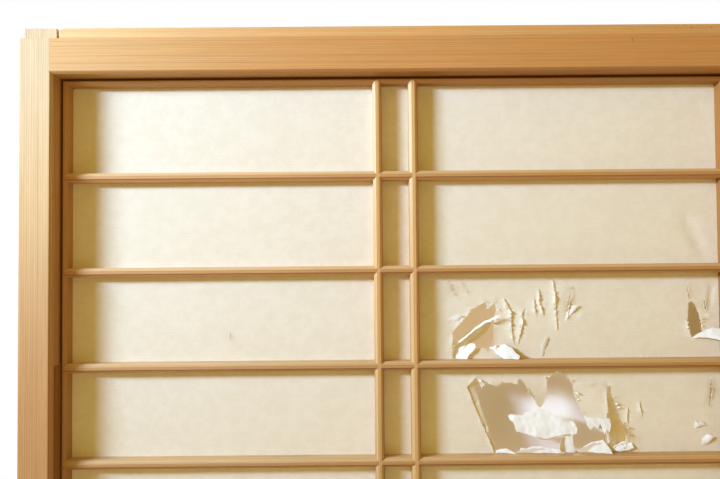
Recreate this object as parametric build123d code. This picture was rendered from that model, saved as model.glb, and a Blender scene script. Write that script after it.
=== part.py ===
from build123d import *
from math import asin, degrees
import os

# A shoji leaf, standing as it hangs in its tracks. Millimetres, +Z up, +X to the right.
# The room side faces -Y and the papered side faces +Y. The origin is the middle of the foot.

# Frame
panel_width = 675.0
frame_depth = 30.0
stile_face = 27.0
top_rail_face = 30.0
bottom_rail_face = 45.5
inner_bevel = 2.0
arris = 0.6

# Edges that run in the head and sill tracks
track_setback = 9.0
head_tongue_height = 12.0
sill_tongue_height = 4.0
tongue_end_gap = 2.0
tongue_chip_length = 5.0
tongue_chip_height = 1.6

# Lattice
row_count = 8
bar_pitch = 87.5
end_row_drop = 91.75
upright_spacing = 33.3
bar_flat = 3.0
bar_bevel = 2.7
bar_depth = 12.5

# Lining round the opening
lining_flat = 1.0
lining_foot_depth = 6.0
shadow_gap = 2.6

# Joints
rail_tenon_length = 21.0
rail_tenon_thickness = 10.0
rail_tenon_shoulder = 5.0
bar_tenon_length = 6.0
bar_tenon_width = 4.2
bar_tenon_thickness = 4.0
mortise_ease = 0.1
mortise_end_ease = 0.5

# Finger pull in the left stile's inner side, beside a run of level bars
pull_front_land = 6.5
pull_width = 12.0
pull_depth = 9.0
pull_corner_radius = 2.5
pull_first_bar = 3
pull_last_bar = 5

# Paper, in strips that end behind a level bar or in the recess round the back
paper_thickness = 0.3
paper_overlap = 6.0
paper_on_frame = 7.0
recess_depth = 1.5
recess_margin = 1.0
strip_last_rows = [2, 5, row_count]

# Sizes worked out from those above
stile_width = stile_face + inner_bevel
top_rail_height = top_rail_face + inner_bevel
bottom_rail_height = bottom_rail_face + inner_bevel
bar_width = bar_flat + 2 * bar_bevel
lining_width = shadow_gap + lining_flat + bar_bevel

# Places worked out from the sizes
opening_half_width = panel_width / 2 - stile_width
opening_bottom = bottom_rail_height
opening_top = opening_bottom + 2 * end_row_drop + (row_count - 2) * bar_pitch
shoulder_top = opening_top + top_rail_height
panel_height = shoulder_top + head_tongue_height
front = -frame_depth / 2
back = frame_depth / 2
tongue_front = front + track_setback
paper_front = back - recess_depth
bar_front = paper_front - bar_depth
lap_depth = bar_front + bar_depth / 2
upright_centres = [-upright_spacing / 2, upright_spacing / 2]
level_centres = [opening_top - end_row_drop - n * bar_pitch for n in range(row_count - 1)]


def block(x_range, y_range, z_range):
    """A box between two values on each axis, given in either order."""
    ranges = [sorted(x_range), sorted(y_range), sorted(z_range)]
    lows = [low for low, high in ranges]
    sizes = [high - low for low, high in ranges]
    return Pos(*lows) * Box(*sizes, align=(Align.MIN, Align.MIN, Align.MIN))


def along_z(points, z_range):
    """A section given as (x, y) points, run upwards."""
    placed = [(x, y, z_range[0]) for x, y in points]
    section = make_face(Polyline(*placed, close=True))
    return extrude(section, amount=z_range[1] - z_range[0], dir=(0, 0, 1))


def along_x(points, x_range):
    """A section given as (y, z) points, run to the right."""
    placed = [(x_range[0], y, z) for y, z in points]
    section = make_face(Polyline(*placed, close=True))
    return extrude(section, amount=x_range[1] - x_range[0], dir=(1, 0, 0))


def along_y(points, y_range):
    """An outline given as (x, z) points, run from front to back."""
    placed = [(x, y_range[0], z) for x, z in points]
    outline = make_face(Polyline(*placed, close=True))
    return extrude(outline, amount=y_range[1] - y_range[0], dir=(0, 1, 0))


def turned_over(shape):
    """The same piece for the other side of the leaf."""
    return mirror(shape, about=Plane.YZ)


# Frame members

def paper_recess():
    """The shallow step round the back of the opening that holds the paper's edge."""
    reach = paper_on_frame + recess_margin
    across = opening_half_width + reach
    return block((-across, across), (paper_front, back), (opening_bottom - reach, opening_top + reach))


def stile_blank():
    """The left stile before its mortises, with its horn, foot and bevels."""
    outer = -panel_width / 2
    inner = -opening_half_width
    section = [
        (outer + arris, front), (inner - inner_bevel, front), (inner, front + inner_bevel),
        (inner, back), (outer + arris, back), (outer, back - arris), (outer, front + arris),
    ]
    stile = along_z(section, (0, panel_height))
    horn_step = block((outer, inner), (front, tongue_front), (shoulder_top, panel_height))
    foot_step = block((outer, inner), (front, tongue_front), (0, sill_tongue_height))
    return stile - [horn_step, foot_step, paper_recess()]


def rail_tenons(z_range, ease=0.0, end_ease=0.0):
    """The two stub tenons of a rail, or with some ease the mortises that take them."""
    half = rail_tenon_thickness / 2 + ease
    low, high = z_range[0] - ease, z_range[1] + ease
    end = opening_half_width + rail_tenon_length + end_ease
    return [
        block((side * opening_half_width, side * end), (-half, half), (low, high))
        for side in (-1, 1)
    ]


def top_rail_blank():
    """The top rail with its tongue, cut short of the stiles' horns and chipped at its left end."""
    reach = opening_half_width + inner_bevel
    section = [
        (front, opening_top + inner_bevel), (front, shoulder_top), (tongue_front, shoulder_top),
        (tongue_front, panel_height), (back - arris, panel_height), (back, panel_height - arris),
        (back, opening_top), (front + inner_bevel, opening_top),
    ]
    tongue_end = opening_half_width - tongue_end_gap
    tongue_cuts = [
        block((side * tongue_end, side * reach), (front, back), (shoulder_top, panel_height))
        for side in (-1, 1)
    ]
    chip = [
        (-tongue_end, panel_height), (-tongue_end, panel_height - tongue_chip_height),
        (-tongue_end + tongue_chip_length, panel_height),
    ]
    rail = along_x(section, (-reach, reach))
    return rail - [*tongue_cuts, along_y(chip, (tongue_front, back)), paper_recess()]


def bottom_rail_blank():
    """The bottom rail with its low set-back edge for the sill groove."""
    reach = opening_half_width + inner_bevel
    section = [
        (tongue_front, 0), (tongue_front, sill_tongue_height), (front, sill_tongue_height),
        (front, opening_bottom - inner_bevel), (front + inner_bevel, opening_bottom),
        (back, opening_bottom), (back, arris), (back - arris, 0),
    ]
    return along_x(section, (-reach, reach)) - paper_recess()


def finger_pull():
    """The hollow in the left stile's inner side, with rounded corners at its floor."""
    mouth = -opening_half_width
    y_low = front + pull_front_land
    top = level_centres[pull_first_bar - 1] + bar_width / 2
    bottom = level_centres[pull_last_bar - 1] - bar_width / 2
    hollow = block((mouth - pull_depth, mouth), (y_low, y_low + pull_width), (bottom, top))
    floor_edges = hollow.edges().filter_by(Axis.Z).group_by(Axis.X)[0]
    return fillet(floor_edges, pull_corner_radius)


# Lining strips

def lining_section():
    """The lining's section as (distance in from the frame, y), with the gap along its outer front."""
    lip = bar_front + bar_bevel
    foot = paper_front - lining_foot_depth
    return [
        (0, paper_front), (lining_width, paper_front), (lining_width, lip),
        (lining_width - bar_bevel, bar_front), (shadow_gap, bar_front), (shadow_gap, foot), (0, foot),
    ]


def lining_strips():
    """The four strips, mitred where they meet."""
    x_out, x_in = opening_half_width, opening_half_width - lining_width
    z_low, z_high = opening_bottom, opening_top
    in_low, in_high = z_low + lining_width, z_high - lining_width
    depth = (bar_front, paper_front)
    left_mitre = [(-x_out, z_low), (-x_in, in_low), (-x_in, in_high), (-x_out, z_high)]
    top_mitre = [(-x_out, z_high), (-x_in, in_high), (x_in, in_high), (x_out, z_high)]
    bottom_mitre = [(-x_out, z_low), (-x_in, in_low), (x_in, in_low), (x_out, z_low)]
    left = along_z([(-x_out + u, y) for u, y in lining_section()], (z_low, z_high))
    top = along_x([(y, z_high - u) for u, y in lining_section()], (-x_out, x_out))
    bottom = along_x([(y, z_low + u) for u, y in lining_section()], (-x_out, x_out))
    left = left & along_y(left_mitre, depth)
    top = top & along_y(top_mitre, depth)
    bottom = bottom & along_y(bottom_mitre, depth)
    return {"left": left, "right": turned_over(left), "top": top, "bottom": bottom}


# Lattice bars

def bar_section(centre):
    """A bar's section as (place across the bar, y), bevelled along both front edges."""
    half = bar_width / 2
    half_flat = bar_flat / 2
    return [
        (centre - half, paper_front), (centre + half, paper_front),
        (centre + half, bar_front + bar_bevel), (centre + half_flat, bar_front),
        (centre - half_flat, bar_front), (centre - half, bar_front + bar_bevel),
    ]


def bar_tenon_y(ease=0.0):
    """Where a bar's tenon lies between front and back: in the middle of the lining's foot."""
    middle = paper_front - lining_foot_depth / 2
    half = bar_tenon_thickness / 2 + ease
    return (middle - half, middle + half)


def level_tenons(centre, ease=0.0, end_ease=0.0):
    """A level bar's tenons, through the lining into each stile, or their mortises."""
    half = bar_tenon_width / 2 + ease
    start = opening_half_width - lining_width
    end = opening_half_width + bar_tenon_length + end_ease
    z_range = (centre - half, centre + half)
    return [block((side * start, side * end), bar_tenon_y(ease), z_range) for side in (-1, 1)]


def upright_tenons(centre, ease=0.0, end_ease=0.0):
    """An upright bar's tenons, through the lining into each rail, or their mortises."""
    half = bar_tenon_width / 2 + ease
    x_range = (centre - half, centre + half)
    reach = bar_tenon_length + end_ease
    low = (opening_bottom - reach, opening_bottom + lining_width)
    high = (opening_top - lining_width, opening_top + reach)
    return [block(x_range, bar_tenon_y(ease), z_range) for z_range in (low, high)]


def upright_bar(centre, linings):
    """An upright bar: whole in front, notched behind for the level bars."""
    half = bar_width / 2
    bar = along_z(bar_section(centre), (opening_bottom + shadow_gap, opening_top - shadow_gap))
    notches = [
        block((centre - half, centre + half), (lap_depth, paper_front), (level - half, level + half))
        for level in level_centres
    ]
    return bar - [linings["top"], linings["bottom"], *notches] + upright_tenons(centre)


def level_bar(centre, linings, uprights):
    """A level bar: whole behind, with mitred notches in front that the upright bars fill."""
    reach = opening_half_width - shadow_gap
    points = [(y, z) for z, y in bar_section(centre)]
    bar = along_x(points, (-reach, reach))
    return bar - [linings["left"], linings["right"], *uprights] + level_tenons(centre)


# Torn paper. A tear is drawn in hundredths of its cell's height, as (across, down) from the top
# left corner of the row's right-hand cell. A place left of that corner counts from the right side.
third_row_hole = [
    (42, 92), (40, 68), (49, 58), (58, 49), (63, 42), (78, 33), (82, 40), (90, 33), (92, 44),
    (90, 86), (76, 88), (64, 92),
]
third_row_strip = [(37, 77), (46, 83), (68, 64), (95, 53), (95, 47), (66, 58)]
fourth_row_hole = [
    (67, 11), (56, 23), (71, 62), (83, 95), (111, 96), (139, 89), (169, 96), (192, 89), (223, 92),
    (243, 89), (233, 53), (220, 20), (185, 20), (162, 8), (149, 15), (119, 15), (95, 16), (76, 15),
]
edge_hole = [(-37, 15), (-36, 61), (-31, 77), (-7, 82), (-6, 71), (-21, 71), (-24, 49), (-31, 33)]

# A flap is an outline that starts and ends on the edge it hangs from, with the radius at which
# it curls towards the room.
third_row_flaps = [
    ([(42, 92), (43, 82), (56, 78), (67, 85), (64, 92)], 17),
    ([(76, 88), (81, 78), (90, 75), (90, 86)], 15),
]
fourth_row_flaps = [
    ([(119, 15), (144, 49), (149, 35), (149, 15)], 76),
    ([(139, 89), (111, 76), (124, 58), (142, 51), (180, 65), (183, 78), (169, 96)], 46),
    ([(185, 20), (188, 43), (193, 58), (210, 63), (217, 53), (220, 20)], 70),
]
edge_flaps = [([(-31, 77), (-23, 71), (-14, 68), (-7, 72), (-7, 82)], 15)]

# Each tear as its row, its hole, the strip left across the hole if there is one, and its flaps
tears = [
    (3, third_row_hole, third_row_strip, third_row_flaps),
    (3, edge_hole, None, edge_flaps),
    (4, fourth_row_hole, None, fourth_row_flaps),
]
tear_unit = (bar_pitch - bar_width) / 100


def in_cell(points, row):
    """Points drawn as (across, down) in a row's right-hand cell, turned into (x, z)."""
    left = upright_centres[-1] + bar_width / 2
    right = opening_half_width - lining_width
    top = level_centres[row - 2] - bar_width / 2
    return [
        ((left if across > 0 else right) + across * tear_unit, top - down * tear_unit)
        for across, down in points
    ]


def curled_flap(points, row, curl):
    """A flap that leaves the sheet at the line between its ends and curls towards the room."""
    outline = in_cell(points, row)
    radius = curl * tear_unit
    corners = [Vector(x, paper_front, z) for x, z in outline]
    start = corners[0]
    along = (corners[-1] - start).normalized()
    room = Vector(0, -1, 0)
    inward = along.cross(room)
    if (corners[len(corners) // 2] - start).dot(inward) < 0:
        inward = -inward
    reach = max((corner - start).dot(inward) for corner in corners)
    spread = max(abs((corner - start).dot(along)) for corner in corners)
    turn = degrees(asin(reach / radius))
    front_arc = CenterArc((0, radius), radius, -90, turn)
    back_arc = CenterArc((0, radius), radius + paper_thickness, -90, turn)
    ends = [Line(front_arc @ place, back_arc @ place) for place in (0, 1)]
    section = make_face([front_arc, back_arc, *ends])
    plane = Plane(origin=start, x_dir=inward, z_dir=inward.cross(room))
    roll = extrude(plane * section, amount=spread, both=True)
    return roll & along_y(outline, (front, back))


def tear(sheet, row, hole, strip, flaps):
    """Open a hole in a sheet, leave a strip across it if there is one, and curl its flaps."""
    cutter = along_y(in_cell(hole, row), (paper_front, back))
    if strip:
        cutter = cutter - along_y(in_cell(strip, row), (paper_front, back))
    return sheet - cutter + [curled_flap(points, row, curl) for points, curl in flaps]


def paper_strip(first_row, last_row):
    """One strip of paper. It laps over the strip below it, behind a level bar."""
    inner = paper_front
    outer = paper_front + paper_thickness
    half_lap = paper_overlap / 2
    if first_row == 1:
        top = opening_top + paper_on_frame
    else:
        top = level_centres[first_row - 2] + half_lap
    if last_row == row_count:
        bottom = opening_bottom - paper_on_frame
        section = [(inner, top), (outer, top), (outer, bottom), (inner, bottom)]
    else:
        seam = level_centres[last_row - 1]
        bottom = seam - half_lap
        lift = seam + half_lap + paper_thickness
        bend = lift + paper_thickness
        lapped = outer + paper_thickness
        section = [
            (inner, top), (outer, top), (outer, bend), (lapped, lift), (lapped, bottom),
            (outer, bottom), (outer, lift), (inner, bend),
        ]
    reach = opening_half_width + paper_on_frame
    sheet = along_x(section, (-reach, reach))
    for row, hole, strip, flaps in tears:
        if first_row <= row <= last_row:
            sheet = tear(sheet, row, hole, strip, flaps)
    return sheet


def build():
    """Every piece of the leaf by its name."""
    linings = lining_strips()
    uprights = [upright_bar(x, linings) for x in upright_centres]
    levels = [level_bar(z, linings, uprights) for z in level_centres]

    level_mortises, upright_mortises = [], []
    for z in level_centres:
        level_mortises += level_tenons(z, mortise_ease, mortise_end_ease)
    for x in upright_centres:
        upright_mortises += upright_tenons(x, mortise_ease, mortise_end_ease)

    top_tenon = (opening_top + rail_tenon_shoulder, shoulder_top - rail_tenon_shoulder)
    bottom_tenon = (sill_tongue_height + rail_tenon_shoulder, opening_bottom - rail_tenon_shoulder)
    rail_mortises = rail_tenons(top_tenon, mortise_ease, mortise_end_ease)
    rail_mortises += rail_tenons(bottom_tenon, mortise_ease, mortise_end_ease)

    left = stile_blank()
    right = turned_over(left)
    pieces = {
        "left_stile": left - [*level_mortises, *rail_mortises, finger_pull()],
        "right_stile": right - [*level_mortises, *rail_mortises],
        "top_rail": top_rail_blank() - [left, right, *upright_mortises] + rail_tenons(top_tenon),
        "bottom_rail": bottom_rail_blank() - [left, right, *upright_mortises] + rail_tenons(bottom_tenon),
        "lining_left": linings["left"] - level_mortises,
        "lining_right": linings["right"] - level_mortises,
        "lining_top": linings["top"] - upright_mortises,
        "lining_bottom": linings["bottom"] - upright_mortises,
        "upright_bar_left": uprights[0],
        "upright_bar_right": uprights[1],
    }
    for number, bar in enumerate(levels, start=1):
        pieces[f"level_bar_{number}"] = bar
    first_row = 1
    for name, last_row in zip(("upper", "middle", "lower"), strip_last_rows):
        pieces[f"paper_{name}"] = paper_strip(first_row, last_row)
        first_row = last_row + 1
    return pieces


os.makedirs("parts", exist_ok=True)
for name, piece in build().items():
    export_step(piece, f"parts/{name}.step")
    print(name, "solids", len(piece.solids()), "volume", round(piece.volume))
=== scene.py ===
"""Shoji leaf: the looks of its wood and of its torn washi, and the light of the photograph.

Lengths are in metres. Points on the tears are in millimetres in their cell of the lattice.
"""

import math
from collections import namedtuple

import bpy
from bpy.props import FloatProperty, FloatVectorProperty, IntProperty, PointerProperty
from mathutils import Matrix, Vector, noise
from mathutils.geometry import delaunay_2d_cdt


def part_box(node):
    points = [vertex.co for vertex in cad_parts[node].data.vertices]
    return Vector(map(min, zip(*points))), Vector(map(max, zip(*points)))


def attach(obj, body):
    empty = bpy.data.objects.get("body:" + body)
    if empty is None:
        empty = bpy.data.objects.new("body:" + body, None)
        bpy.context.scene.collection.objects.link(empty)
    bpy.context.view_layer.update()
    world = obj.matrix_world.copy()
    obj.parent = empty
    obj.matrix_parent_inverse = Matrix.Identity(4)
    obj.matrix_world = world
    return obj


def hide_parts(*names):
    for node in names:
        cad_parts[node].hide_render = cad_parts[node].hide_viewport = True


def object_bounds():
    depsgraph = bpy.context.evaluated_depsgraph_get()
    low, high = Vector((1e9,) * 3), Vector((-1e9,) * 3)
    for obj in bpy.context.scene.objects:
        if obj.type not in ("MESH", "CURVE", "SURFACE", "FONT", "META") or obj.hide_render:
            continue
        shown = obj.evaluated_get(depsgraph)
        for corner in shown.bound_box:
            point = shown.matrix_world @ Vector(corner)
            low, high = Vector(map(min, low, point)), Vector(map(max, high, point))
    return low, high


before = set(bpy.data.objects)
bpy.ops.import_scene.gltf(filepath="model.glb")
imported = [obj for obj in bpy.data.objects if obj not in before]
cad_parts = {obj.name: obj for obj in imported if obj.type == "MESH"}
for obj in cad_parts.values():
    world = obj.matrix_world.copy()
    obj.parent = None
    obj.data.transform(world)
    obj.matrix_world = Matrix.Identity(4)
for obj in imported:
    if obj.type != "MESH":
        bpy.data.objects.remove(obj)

cad_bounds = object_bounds()

bl_info = {
    "name": "Shoji leaf",
    "version": (1, 0, 0),
    "blender": (4, 5, 0),
    "location": "3D View > Sidebar > Shoji",
    "description": "Dresses the wood and the torn paper of a shoji leaf and lights it",
    "category": "Object",
}

MM = 0.001
BODY = "root"

# Pieces of the leaf

STILES = ["left_stile", "right_stile"]
RAILS = ["top_rail", "bottom_rail"]
UPRIGHT_STRIPS = ["lining_left", "lining_right", "upright_bar_left", "upright_bar_right"]
LEVEL_BARS = [name for name in sorted(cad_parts) if name.startswith("level_bar_")]
LEVEL_STRIPS = ["lining_top", "lining_bottom"] + LEVEL_BARS
BARS = ["upright_bar_left", "upright_bar_right"] + LEVEL_BARS

# Places taken from the frame

LEAF_LOW, LEAF_HIGH = [Vector(corner) for corner in cad_bounds]
LATTICE_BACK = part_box("lining_left")[1][1]
CELL_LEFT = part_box("upright_bar_right")[1][0]
CELL_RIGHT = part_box("lining_right")[0][0]
CELLS_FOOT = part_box("lining_bottom")[1][2]
BAR_SPANS = [(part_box(name)[0][2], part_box(name)[1][2]) for name in LEVEL_BARS]
BAR_CENTRES = [(low + high) / 2 for low, high in BAR_SPANS]
OPENING_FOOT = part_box("lining_bottom")[0][2]
OPENING_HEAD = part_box("lining_top")[1][2]
OPENING_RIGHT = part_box("lining_right")[1][0]
OPENING_MIDDLE = (OPENING_FOOT + OPENING_HEAD) / 2
OPENING_HALF = (OPENING_HEAD - OPENING_FOOT) / 2

# Sizes of the joinery

FRAME_REVEAL = 2.2 * MM
STILE_FACE = 27 * MM
JOINT_X = LEAF_HIGH.x - STILE_FACE
TONGUE_FOOT = LEAF_HIGH.z - 12 * MM
BAR_BEVEL = 2.7 * MM

# Sizes of the paper

SHEET_THICKNESS = 0.3 * MM
SEAM_HALF_LAP = 3 * MM
PASTED_HALF = 4.5 * MM
UPRIGHT_CENTRE = 16.65 * MM
SLACK_MARGIN = 9 * MM

# Tints of the sticks, and the heights or places between which a tint sets in. The pale tints of faces,
# bevels, the stile's head and the rail's left end are painted highlights; the dark arris tint and the
# darkening towards the foot are painted shade.

# Painted highlights on the lit front faces of the left stile and the upright bars
PAINTED_BAR_HIGHLIGHT = (1.12, 1.34, 1.55)
PAINTED_FACE_HIGHLIGHTS = {
    "left_stile": (1.05, 1.32, 1.58),
    "upright_bar_left": PAINTED_BAR_HIGHLIGHT,
    "upright_bar_right": PAINTED_BAR_HIGHLIGHT,
}
AMBER_RAIL = (1.0, 0.96, 0.84)
PALE_TONGUE = (1.14, 1.32, 1.58)
PAINTED_STILE_HEAD_HIGHLIGHT = (1.0, 1.12, 1.42)
PAINTED_RAIL_END_HIGHLIGHT = (1.04, 1.18, 1.32)
LEVEL_TINT = (0.93, 0.96, 1.0)
PAINTED_UPPER_BEVEL_HIGHLIGHT = (1.28, 1.58, 2.1)
PAINTED_LEFT_BEVEL_HIGHLIGHT = (1.0, 1.26, 1.8)
PAINTED_ARRIS_SHADE = (0.64, 0.58, 0.46)
PAINTED_FOOT_SHADE_HEIGHTS = (0.38, 0.70)
STILE_HIGHLIGHT_HEIGHTS = (0.44, 0.68)
STILE_HEAD_HIGHLIGHT_HEIGHTS = (0.62, 0.79)
BEVEL_HIGHLIGHT_HEIGHTS = (0.60, 0.70)
RAIL_END_HIGHLIGHT_PLACES = (-0.08, -0.30)

# Marks on the wood

WORN_ARRIS = (0.80, 0.56, 0.31)
PIT = (0.25, 0.13, 0.05)
JOINT_LINE = (0.12, 0.06, 0.025)
TONGUE_PIT = (0.10, 0.045, 0.02)
NICK = (0.17, 0.09, 0.03)
NICK_PLACE = (0.213, 0.783)
NICK_REACH = (0.7 * MM, 2.4 * MM)

# Colours within the paper

THICK_CLOUD = (0.84, 0.75, 0.58)
PALE_FIBRE = (0.99, 0.98, 0.95)
LAID_LINE = (0.82, 0.72, 0.54)
# Painted shade of the lamp's falloff, warming the paper towards the right
PAPER_FALLOFF_TINT = (1.0, 0.975, 0.92)
PAPER_SPECK = (0.52, 0.40, 0.24)

# Camera and stage

CAMERA_PLACE = Vector((-34.94, -558.83, 590.85)) * MM
CAMERA_PAN = 0.0028
CAMERA_TILT = 0.0258
CAMERA_ROLL = -0.0084
SENSOR_WIDTH = 36.0
FLOOR_HALF = 3.0
FLOOR_COLOUR = (0.90, 0.84, 0.70)
FLOOR_COOLING = (0.0, 0.13, 0.33)
FLOOR_FADES = (0.5, 1.0)
BOARD_Y = LATTICE_BACK + 27 * MM
BOARD_LEFT = -200 * MM
BOARD_RIGHT = 311 * MM
BOARD_ROWS = (3, 5)
BOARD_COLOUR = (0.76, 0.70, 0.76)
BOARD_SHADE = (0.45, 0.34, 0.0)
BOARD_DARKENS = (0.25, 0.29)
BOARD_GLOW = (0.02, 0.035, 0.045)
# Painted pools of light on the board: their colours, centres and reaches
LOWER_PAINTED_LIGHT = (0.23, 0.30, 0.32)
LOWER_PAINTED_LIGHT_AT = ((0.151, 0.437), (0.037, 0.030))
UPPER_PAINTED_LIGHT = (0.11, 0.07, 0.02)
UPPER_PAINTED_LIGHT_AT = ((0.081, 0.517), (0.080, 0.050))
LEAF_MIDDLE = (0.0, 0.0, 0.45)

Lamp = namedtuple("Lamp", "name size colour place target spread", defaults=(LEAF_MIDDLE, 180))

WINDOW_LAMP = Lamp(
    "window_lamp", (0.42, 0.17), (0.51, 0.68, 0.92), (-1.20, -0.66, 0.965), (0.61, 0.0, 0.69), 90,
)
ROOM_LAMP = Lamp("room_lamp", (1.6, 1.6), (1.0, 0.76, 0.48), (1.5, -1.2, 0.9))
BACK_LAMP = Lamp("back_lamp", (1.0, 1.0), (1.0, 0.95, 0.88), (0.9, 1.5, 1.3))


class ShojiWood(bpy.types.PropertyGroup):
    """Colours and grain of the bare softwood."""

    early_wood: FloatVectorProperty(
        name="Early wood", description="Colour of the pale part of a growth ring",
        default=(0.69, 0.37, 0.14), size=3, min=0, max=1, subtype="COLOR",
    )
    late_wood: FloatVectorProperty(
        name="Late wood", description="Colour of the dark line of a growth ring",
        default=(0.49, 0.22, 0.068), size=3, min=0, max=1, subtype="COLOR",
    )
    # Painted shade: this tint darkens the wood towards the right to stand for the lamp's falloff
    painted_falloff_tint: FloatVectorProperty(
        name="Toned wood", description="Tint of the wood where age has darkened it most",
        default=(0.82, 0.72, 0.50), size=3, min=0, max=1, subtype="COLOR",
    )
    # Painted shade: the wood in the recess round the lattice is darkened where shade falls
    painted_recess_shade: FloatVectorProperty(
        name="Recess tint", description="Tint of the wood down in the recess round the lattice",
        default=(0.68, 0.63, 0.45), size=3, min=0, max=1, subtype="COLOR",
    )
    ring_pitch: FloatProperty(
        name="Ring pitch", description="Width of one growth ring", default=1.7 * MM, unit="LENGTH",
    )
    worn_radius: FloatProperty(
        name="Worn radius", description="Rounding of the edges by handling",
        default=0.45 * MM, unit="LENGTH",
    )


class ShojiPaper(bpy.types.PropertyGroup):
    """Colours and form of the pasted washi."""

    aged: FloatVectorProperty(
        name="Aged paper", description="Colour of the paper's open face",
        default=(0.955, 0.905, 0.785), size=3, min=0, max=1, subtype="COLOR",
    )
    # Partly painted highlight: flaps that face the lamp are drawn towards this whiter colour
    fresh: FloatVectorProperty(
        name="Fresh paper", description="Colour where a tear has bared clean paper",
        default=(0.97, 0.955, 0.915), size=3, min=0, max=1, subtype="COLOR",
    )
    mesh_step: FloatProperty(
        name="Mesh step", description="Distance of the points on whole paper",
        default=4.5 * MM, unit="LENGTH",
    )
    cockle: FloatProperty(
        name="Cockle", description="Height of the paper's slack between the bars",
        default=0.28 * MM, unit="LENGTH",
    )
    ragged: FloatProperty(
        name="Ragged edge", description="How far a torn edge strays from its line",
        default=0.45 * MM, unit="LENGTH",
    )
    fibre_length: FloatProperty(
        name="Fibre length", description="Length of a loose fibre on a torn edge",
        default=3.2 * MM, unit="LENGTH",
    )
    fibre_gap: FloatProperty(
        name="Fibre gap", description="Distance of the loose fibres along a torn edge",
        default=0.8 * MM, unit="LENGTH",
    )
    curl_length: FloatProperty(
        name="Curl length", description="Length of a small curl on a torn edge",
        default=4.6 * MM, unit="LENGTH",
    )
    curl_gap: FloatProperty(
        name="Curl gap", description="Distance of the places where a rim may curl",
        default=3.4 * MM, unit="LENGTH",
    )
    seed: IntProperty(name="Seed", description="Seed of the torn edges, fibres and curls", default=11, min=1)


class ShojiStage(bpy.types.PropertyGroup):
    """Light and backdrop."""

    lamp_power: FloatProperty(
        name="Lamp power", description="Power of the main lamp", default=10.9, unit="POWER",
    )
    room_power: FloatProperty(
        name="Room power", description="Power of the soft lamp at the right", default=0.55, unit="POWER",
    )
    back_power: FloatProperty(
        name="Back power", description="Power of the lamp behind", default=12.0, unit="POWER",
    )
    room_light: FloatVectorProperty(
        name="Room light", description="Colour of the light that the room throws back",
        default=(0.48, 0.31, 0.03), size=3, min=0, max=1, subtype="COLOR",
    )
    lens: FloatProperty(
        name="Lens", description="Focal length in millimetres for a 36 mm sensor", default=30.53,
    )


class Net:
    """Short calls that add nodes to one node tree and join them."""

    def __init__(self, tree):
        self.tree = tree

    def node(self, kind, **settings):
        made = self.tree.nodes.new(kind)
        for name, value in settings.items():
            setattr(made, name, value)
        return made

    def feed(self, socket, value):
        if isinstance(value, bpy.types.NodeSocket):
            self.tree.links.new(value, socket)
        elif socket.type == "RGBA" and len(value) == 3:
            socket.default_value = (*value, 1.0)
        else:
            socket.default_value = value

    def math(self, operation, first, second=0.0, clamp=False):
        made = self.node("ShaderNodeMath", operation=operation, use_clamp=clamp)
        self.feed(made.inputs[0], first)
        self.feed(made.inputs[1], second)
        return made.outputs[0]

    def vector(self, operation, first, second=(0.0, 0.0, 0.0)):
        made = self.node("ShaderNodeVectorMath", operation=operation)
        self.feed(made.inputs[0], first)
        self.feed(made.inputs[1], second)
        return made.outputs["Value" if operation in ("DOT_PRODUCT", "LENGTH", "DISTANCE") else "Vector"]

    def step(self, value, low, high, start=0.0, end=1.0):
        """A smooth step from start to end as the value goes from low to high."""
        made = self.node("ShaderNodeMapRange", interpolation_type="SMOOTHSTEP")
        for socket, given in zip(made.inputs, (value, low, high, start, end)):
            self.feed(socket, given)
        return made.outputs[0]

    def mix(self, factor, first, second, blend="MIX"):
        made = self.node("ShaderNodeMix", data_type="RGBA", blend_type=blend)
        self.feed(made.inputs[0], factor)
        self.feed(made.inputs[6], first)
        self.feed(made.inputs[7], second)
        return made.outputs[2]

    def distance(self, first, second):
        """The length of two sides at a right angle."""
        squares = [self.math("MULTIPLY", side, side) for side in (first, second)]
        return self.math("SQRT", self.math("ADD", *squares))

    def noise(self, vector, scale, detail=2.0, roughness=0.5):
        """Noise from 0 to 1. A scale of three numbers stretches it."""
        if not isinstance(scale, (int, float)):
            vector = self.vector("MULTIPLY", vector, scale)
            scale = 1.0
        made = self.node("ShaderNodeTexNoise")
        self.feed(made.inputs["Vector"], vector)
        self.feed(made.inputs["Scale"], scale)
        self.feed(made.inputs["Detail"], detail)
        self.feed(made.inputs["Roughness"], roughness)
        return made.outputs[0]

    def split(self, vector):
        made = self.node("ShaderNodeSeparateXYZ")
        self.feed(made.inputs[0], vector)
        return made.outputs[:3]


def new_group(name, inputs, outputs):
    """A shader node group with named sockets. Returns it, its net, its inputs and its output node."""
    group = bpy.data.node_groups.new(name, "ShaderNodeTree")
    for title, kind, default in inputs:
        socket = group.interface.new_socket(name=title, in_out="INPUT", socket_type=kind)
        if default is not None:
            socket.default_value = default
    for title, kind in outputs:
        group.interface.new_socket(name=title, in_out="OUTPUT", socket_type=kind)
    net = Net(group)
    given = net.node("NodeGroupInput").outputs
    result = net.node("NodeGroupOutput").inputs
    return group, net, given, result


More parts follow.
